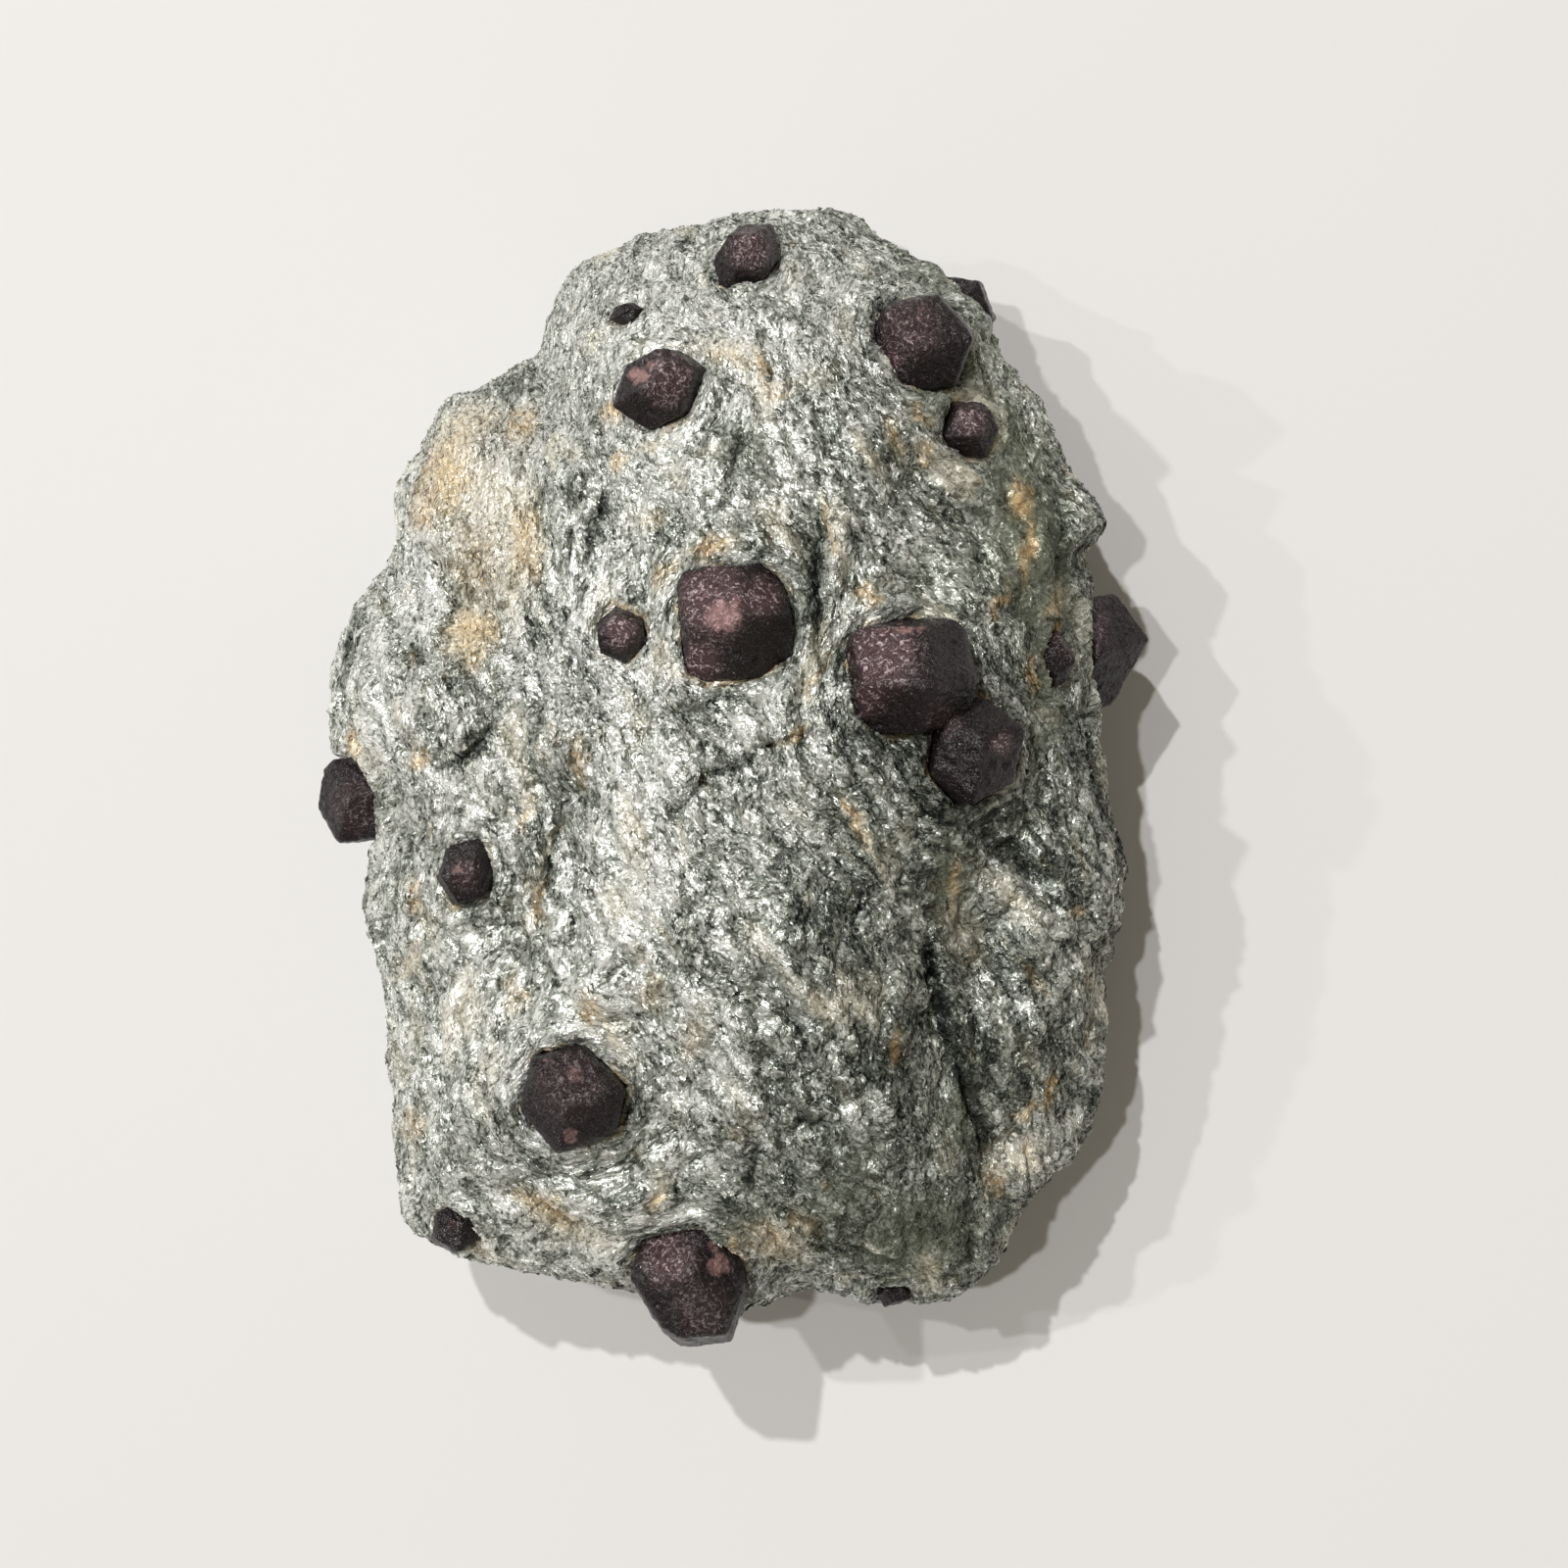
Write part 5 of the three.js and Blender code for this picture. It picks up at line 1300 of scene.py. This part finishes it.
FLAKE_COUNT = 150000
FLAKE_LENGTH = 0.75         # typical length along the grain
FLAKE_WIDTH = 0.62          # width as a share of the length
FLAKE_DEPTH = 0.45          # how deep a wedge's point is sunk
FLAKE_LIFT = [0.01, 0.06]   # least lift off the rock, and how much more it may be
LENGTH_SPREAD = 0.42        # spreads of the logarithms of length and width
WIDTH_SPREAD = 0.25
RAGGED_CORNER = 0.22        # how far a corner strays, as a share of half the length or width
STRAY_TURN = 0.6            # how far flakes turn off the grain, in radians
SHARED_ROLL = 0.24          # neighbours' common tilt, in radians, about their length and width
SHARED_PITCH = 0.16
OWN_ROLL = 0.07             # each flake's own tilt
OWN_PITCH = 0.06
SPRUNG = [0.05, 2.5]        # share of flakes that have sprung up, and how much more they tilt
TONE_SPREAD = 0.11          # how much flakes differ in tone
FINER_IN_SAGE = 0.42        # how much smaller flakes are in full sage and in full dark patches
FINER_IN_DARK = 0.15
FLAKE_ROUGHNESS = 0.22      # of the best polished flakes
LEAST_BLEED = 0.35          # the least share of the rock's stain that reaches a flake
CLEAR_OF_GARNETS = 0.22
CLEAR_OF_TABLE = 0.8
SMOOTH_ENOUGH = 0.6         # least cosine between a face and its smooth normal where flakes lie
LEAST_HEIGHT = 0.02         # of a flake's lowest point over the table
# Flakes lie thickest on the back: [how much a face looks up, its weight].
SEEN_WEIGHTS = np.array([[-1, 0.35], [-0.4, 0.45], [0.3, 0.8], [1, 1.0]])
# A flake's corners, as [share of half the length, share of half the width], and its place on its
# own patch of the UV map: four corners round the edge, and the point in the middle.
FLAKE_CORNERS = [(1, 0.35), (0.25, 1), (-1, -0.35), (-0.25, -1)]
FLAKE_PATCH = np.array([[0.85, 0.5], [0.5, 0.85], [0.15, 0.5], [0.5, 0.15], [0.5, 0.5]])
FLAKE_FACES = np.array([[0, 1, 2], [0, 2, 3], [1, 0, 4], [2, 1, 4], [3, 2, 4], [0, 3, 4]])
FLAKE_PIECES = ["flakes_top_end", "flakes_upper", "flakes_middle", "flakes_lower", "flakes_bottom_end"]

draw = np.random.default_rng(7)


def scatter(piece, count):
    """Places over a piece's faces, each face as likely as its area times its weight: points, and
    unit normals.

    A place is a corner plus two random shares of the face's edges. Sockets and the resting face
    are left out, and so are places whose face turns away from its smooth normal.
    """
    mesh = piece.data
    mesh.calc_loop_triangles()
    corners = np.empty(len(mesh.loop_triangles) * 3, np.int32)
    mesh.loop_triangles.foreach_get("vertices", corners)
    corners = corners.reshape(-1, 3)
    points = piece_points(piece)
    a, b, c = points[corners[:, 0]], points[corners[:, 1]], points[corners[:, 2]]
    cross = np.cross(b - a, c - a)
    area = np.linalg.norm(cross, axis=1) / 2
    middles = (a + b + c) / 3
    up = cross[:, 2] / (2 * area + 1e-12)
    weight = area * np.interp(up, *SEEN_WEIGHTS.T)
    weight[(garnet_distance(middles) < CLEAR_OF_GARNETS) | (middles[:, 2] < CLEAR_OF_TABLE)] = 0
    chosen = draw.choice(len(area), count, p=weight / weight.sum())
    u, v = draw.random((2, count))
    over = u + v > 1
    u, v = np.where(over, 1 - u, u)[:, None], np.where(over, 1 - v, v)[:, None]
    places = a[chosen] * (1 - u - v) + b[chosen] * u + c[chosen] * v
    normals = vertex_normals(piece)[corners[chosen]]
    normals = unit(normals[:, 0] * (1 - u - v) + normals[:, 1] * u + normals[:, 2] * v)
    agree = np.sum(unit(cross[chosen]) * normals, axis=1) > SMOOTH_ENOUGH
    return places[agree], normals[agree]


def grain_direction(places, normals):
    """The grain's direction in the surface: square to the slope of grain_across on the back, and
    level round the flanks. What points out of the surface is taken off."""
    x, y, z = places.T
    step = 0.3
    slope_x = grain_across(x + step, y, z) - grain_across(x - step, y, z)
    slope_y = grain_across(x, y + step, z) - grain_across(x, y - step, z)
    flow = unit(np.stack([-slope_y, slope_x, np.zeros(len(x))], -1) + [0, 1e-6, 0])
    level = np.cross([0, 0, 1.0], normals)
    level *= np.where(np.sum(level * flow, axis=1) < 0, -1, 1)[:, None]
    steep = np.clip(1.3 - 1.6 * np.abs(normals[:, 2]), 0, 1)[:, None]
    mixed = flow * (1 - steep) + level * steep
    mixed -= normals * np.sum(mixed * normals, axis=1)[:, None]
    return unit(mixed + 1e-6)


def turned(vectors, axes, angle):
    """Vectors turned about unit axes square to them: the vector times the angle's cosine plus
    their cross product times its sine."""
    return vectors * np.cos(angle)[:, None] + np.cross(axes, vectors) * np.sin(angle)[:, None]


def flake_mesh(places, normals, finish):
    """Closed wedges: four corners of a ragged plate, and a point sunk below its middle.

    A plate lies along the grain, turned off it at random, and is tilted by slow noise that it
    shares with its neighbours and by a little of its own. Returns points, triangles and each
    flake's place on its own patch of the piece's UV map.
    """
    count = len(places)
    along = grain_direction(places, normals)
    spin = draw.normal(0, STRAY_TURN, count)
    across = np.cross(normals, along)
    along, across = (
        along * np.cos(spin)[:, None] + across * np.sin(spin)[:, None],
        across * np.cos(spin)[:, None] - along * np.sin(spin)[:, None])
    sprung_share, sprung_more = SPRUNG
    sprung = np.where(draw.random(count) < sprung_share, sprung_more, 1)
    grain = grain_place(places)
    shared_roll = SHARED_ROLL * lattice_noise(grain / [1.3, 3.2, 1.8], 51)
    shared_pitch = SHARED_PITCH * lattice_noise(grain / [1.5, 3.0, 1.8], 52)
    roll_angle = shared_roll + draw.normal(0, OWN_ROLL, count) * sprung
    pitch_angle = shared_pitch + draw.normal(0, OWN_PITCH, count) * sprung
    plate = turned(normals, along, roll_angle)
    across = turned(across, along, roll_angle)
    along = turned(along, across, pitch_angle)
    plate = np.cross(along, across)
    fine = 1 - FINER_IN_SAGE * finish["sage"] - FINER_IN_DARK * finish["dark"]
    spread = np.clip(draw.normal(0, LENGTH_SPREAD, count), -1, 0.7)
    half_length = 0.5 * FLAKE_LENGTH * np.exp(spread) * fine
    half_width = half_length * FLAKE_WIDTH * np.exp(draw.normal(0, WIDTH_SPREAD, count))
    least_lift, more_lift = FLAKE_LIFT
    lift = least_lift + more_lift * draw.random(count)
    middle = places + normals * lift[:, None]
    points = np.empty((count, 5, 3))
    for corner, (way, side) in enumerate(FLAKE_CORNERS):
        far = half_length * (way + draw.normal(0, RAGGED_CORNER, count))
        wide = half_width * (side + draw.normal(0, RAGGED_CORNER, count))
        points[:, corner] = middle + along * far[:, None] + across * wide[:, None]
    points[:, 4] = middle - plate * FLAKE_DEPTH
    points[..., 2] = np.maximum(points[..., 2], LEAST_HEIGHT)
    triangles = (np.arange(count)[:, None, None] * 5 + FLAKE_FACES).reshape(-1, 3)
    side_cells = math.ceil(math.sqrt(count))
    cell = np.stack([np.arange(count) % side_cells, np.arange(count) // side_cells], -1)
    patch = (cell[:, None, :] + FLAKE_PATCH) / side_cells
    return points.reshape(-1, 3), triangles, patch.reshape(-1, 2)


flake_places, flake_normals = scatter(lump, FLAKE_COUNT)
from_top = np.argsort(-flake_places[:, 1])
flake_finish = mica_finish("muscovite_flakes", FLAKE_ROUGHNESS)
for flake_name, chosen in zip(FLAKE_PIECES, np.array_split(from_top, len(FLAKE_PIECES))):
    places, normals = flake_places[chosen], flake_normals[chosen]
    finish = rock_finish(places)
    points, triangles, patch = flake_mesh(places, normals, finish)
    flakes = mesh_piece(flake_name, points, triangles)
    flakes.data.shade_flat()
    tones = mica_tone(places, finish) + draw.normal(0, TONE_SPREAD, len(places))
    set_attribute(flakes, "grain", grain_place(points))
    set_attribute(flakes, "tone", np.repeat(np.clip(tones, 0, 1), 5))
    for finish_name in ("rust", "cream", "sage"):
        bleed = finish[finish_name] * (LEAST_BLEED + (1 - LEAST_BLEED) * draw.random(len(places)))
        set_attribute(flakes, finish_name, np.repeat(np.clip(bleed, 0, 1), 5))
    uv = flakes.data.uv_layers.new(name="OFBake")
    uv.data.foreach_set("uv", patch[triangles.ravel()].astype(np.float32).ravel())
    flakes.data.materials.append(flake_finish)
    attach(flakes, "root")

# ---- Table, lights and camera ----
# A plain pale tabletop in a warm dim room. Four small lamps stand overhead to the left, the
# strongest of them to the upper left, and each casts a crisp shadow of its own.
# The camera looks straight down, as at a specimen on a table.

CAMERA_PLACE = np.array([6.565, -0.585, 480.0])   # in the lump's own place
FOCAL_SHARE = 2.1875        # focal length over the sensor's width
SENSOR_WIDTH = 36
TABLE_SIZE = 2.0            # metres
TABLE_COLOUR = "#d6d5d4"
ROOM_COLOUR = "#f3e8d4"
ROOM_STRENGTH = 0.28
TABLE_ROUGHNESS = 0.6

bpy.ops.mesh.primitive_plane_add(size=TABLE_SIZE)
floor = bpy.context.object
floor.name = "tabletop"
table_finish = bpy.data.materials.new("pale_tabletop")
table_finish.use_nodes = True
table_surface = table_finish.node_tree.nodes["Principled BSDF"]
table_surface.inputs["Base Color"].default_value = linear(TABLE_COLOUR)
table_surface.inputs["Roughness"].default_value = TABLE_ROUGHNESS
floor.data.materials.append(table_finish)

# [name, compass, degrees down from overhead, width in metres, power in watts]
LAMPS = [
    ["top_lamp", 172, 17, 0.2, 147],
    ["main_lamp", 120, 32, 0.16, 235],
    ["side_lamp", 156, 38, 0.16, 120],
    ["far_lamp", 170, 48, 0.14, 44],
]
LAMP_DISTANCE = 7           # metres
for lamp_name, compass, fallen, width, power in LAMPS:
    lamp = bpy.data.lights.new(lamp_name, "AREA")
    lamp.shape = "DISK"
    lamp.size = width
    lamp.energy = power
    holder = bpy.data.objects.new(lamp_name, lamp)
    holder.rotation_euler = (0, math.radians(fallen), math.radians(compass))
    away = np.array([
        math.sin(math.radians(fallen)) * math.cos(math.radians(compass)),
        math.sin(math.radians(fallen)) * math.sin(math.radians(compass)),
        math.cos(math.radians(fallen)),
    ])
    holder.location = away * LAMP_DISTANCE
    bpy.context.scene.collection.objects.link(holder)

room = bpy.data.worlds.new("pale_room")
room.use_nodes = True
room.node_tree.nodes["Background"].inputs["Color"].default_value = linear(ROOM_COLOUR)
room.node_tree.nodes["Background"].inputs["Strength"].default_value = ROOM_STRENGTH
bpy.context.scene.world = room
bpy.context.scene.view_settings.view_transform = "Standard"

camera_data = bpy.data.cameras.new("camera")
camera_data.sensor_width = SENSOR_WIDTH
camera_data.lens = SENSOR_WIDTH * FOCAL_SHARE
camera_data.clip_start = 0.01
camera = bpy.data.objects.new("camera", camera_data)
camera.location = (CAMERA_PLACE + LUMP_SHIFT) * MM
bpy.context.scene.collection.objects.link(camera)
bpy.context.scene.camera = camera
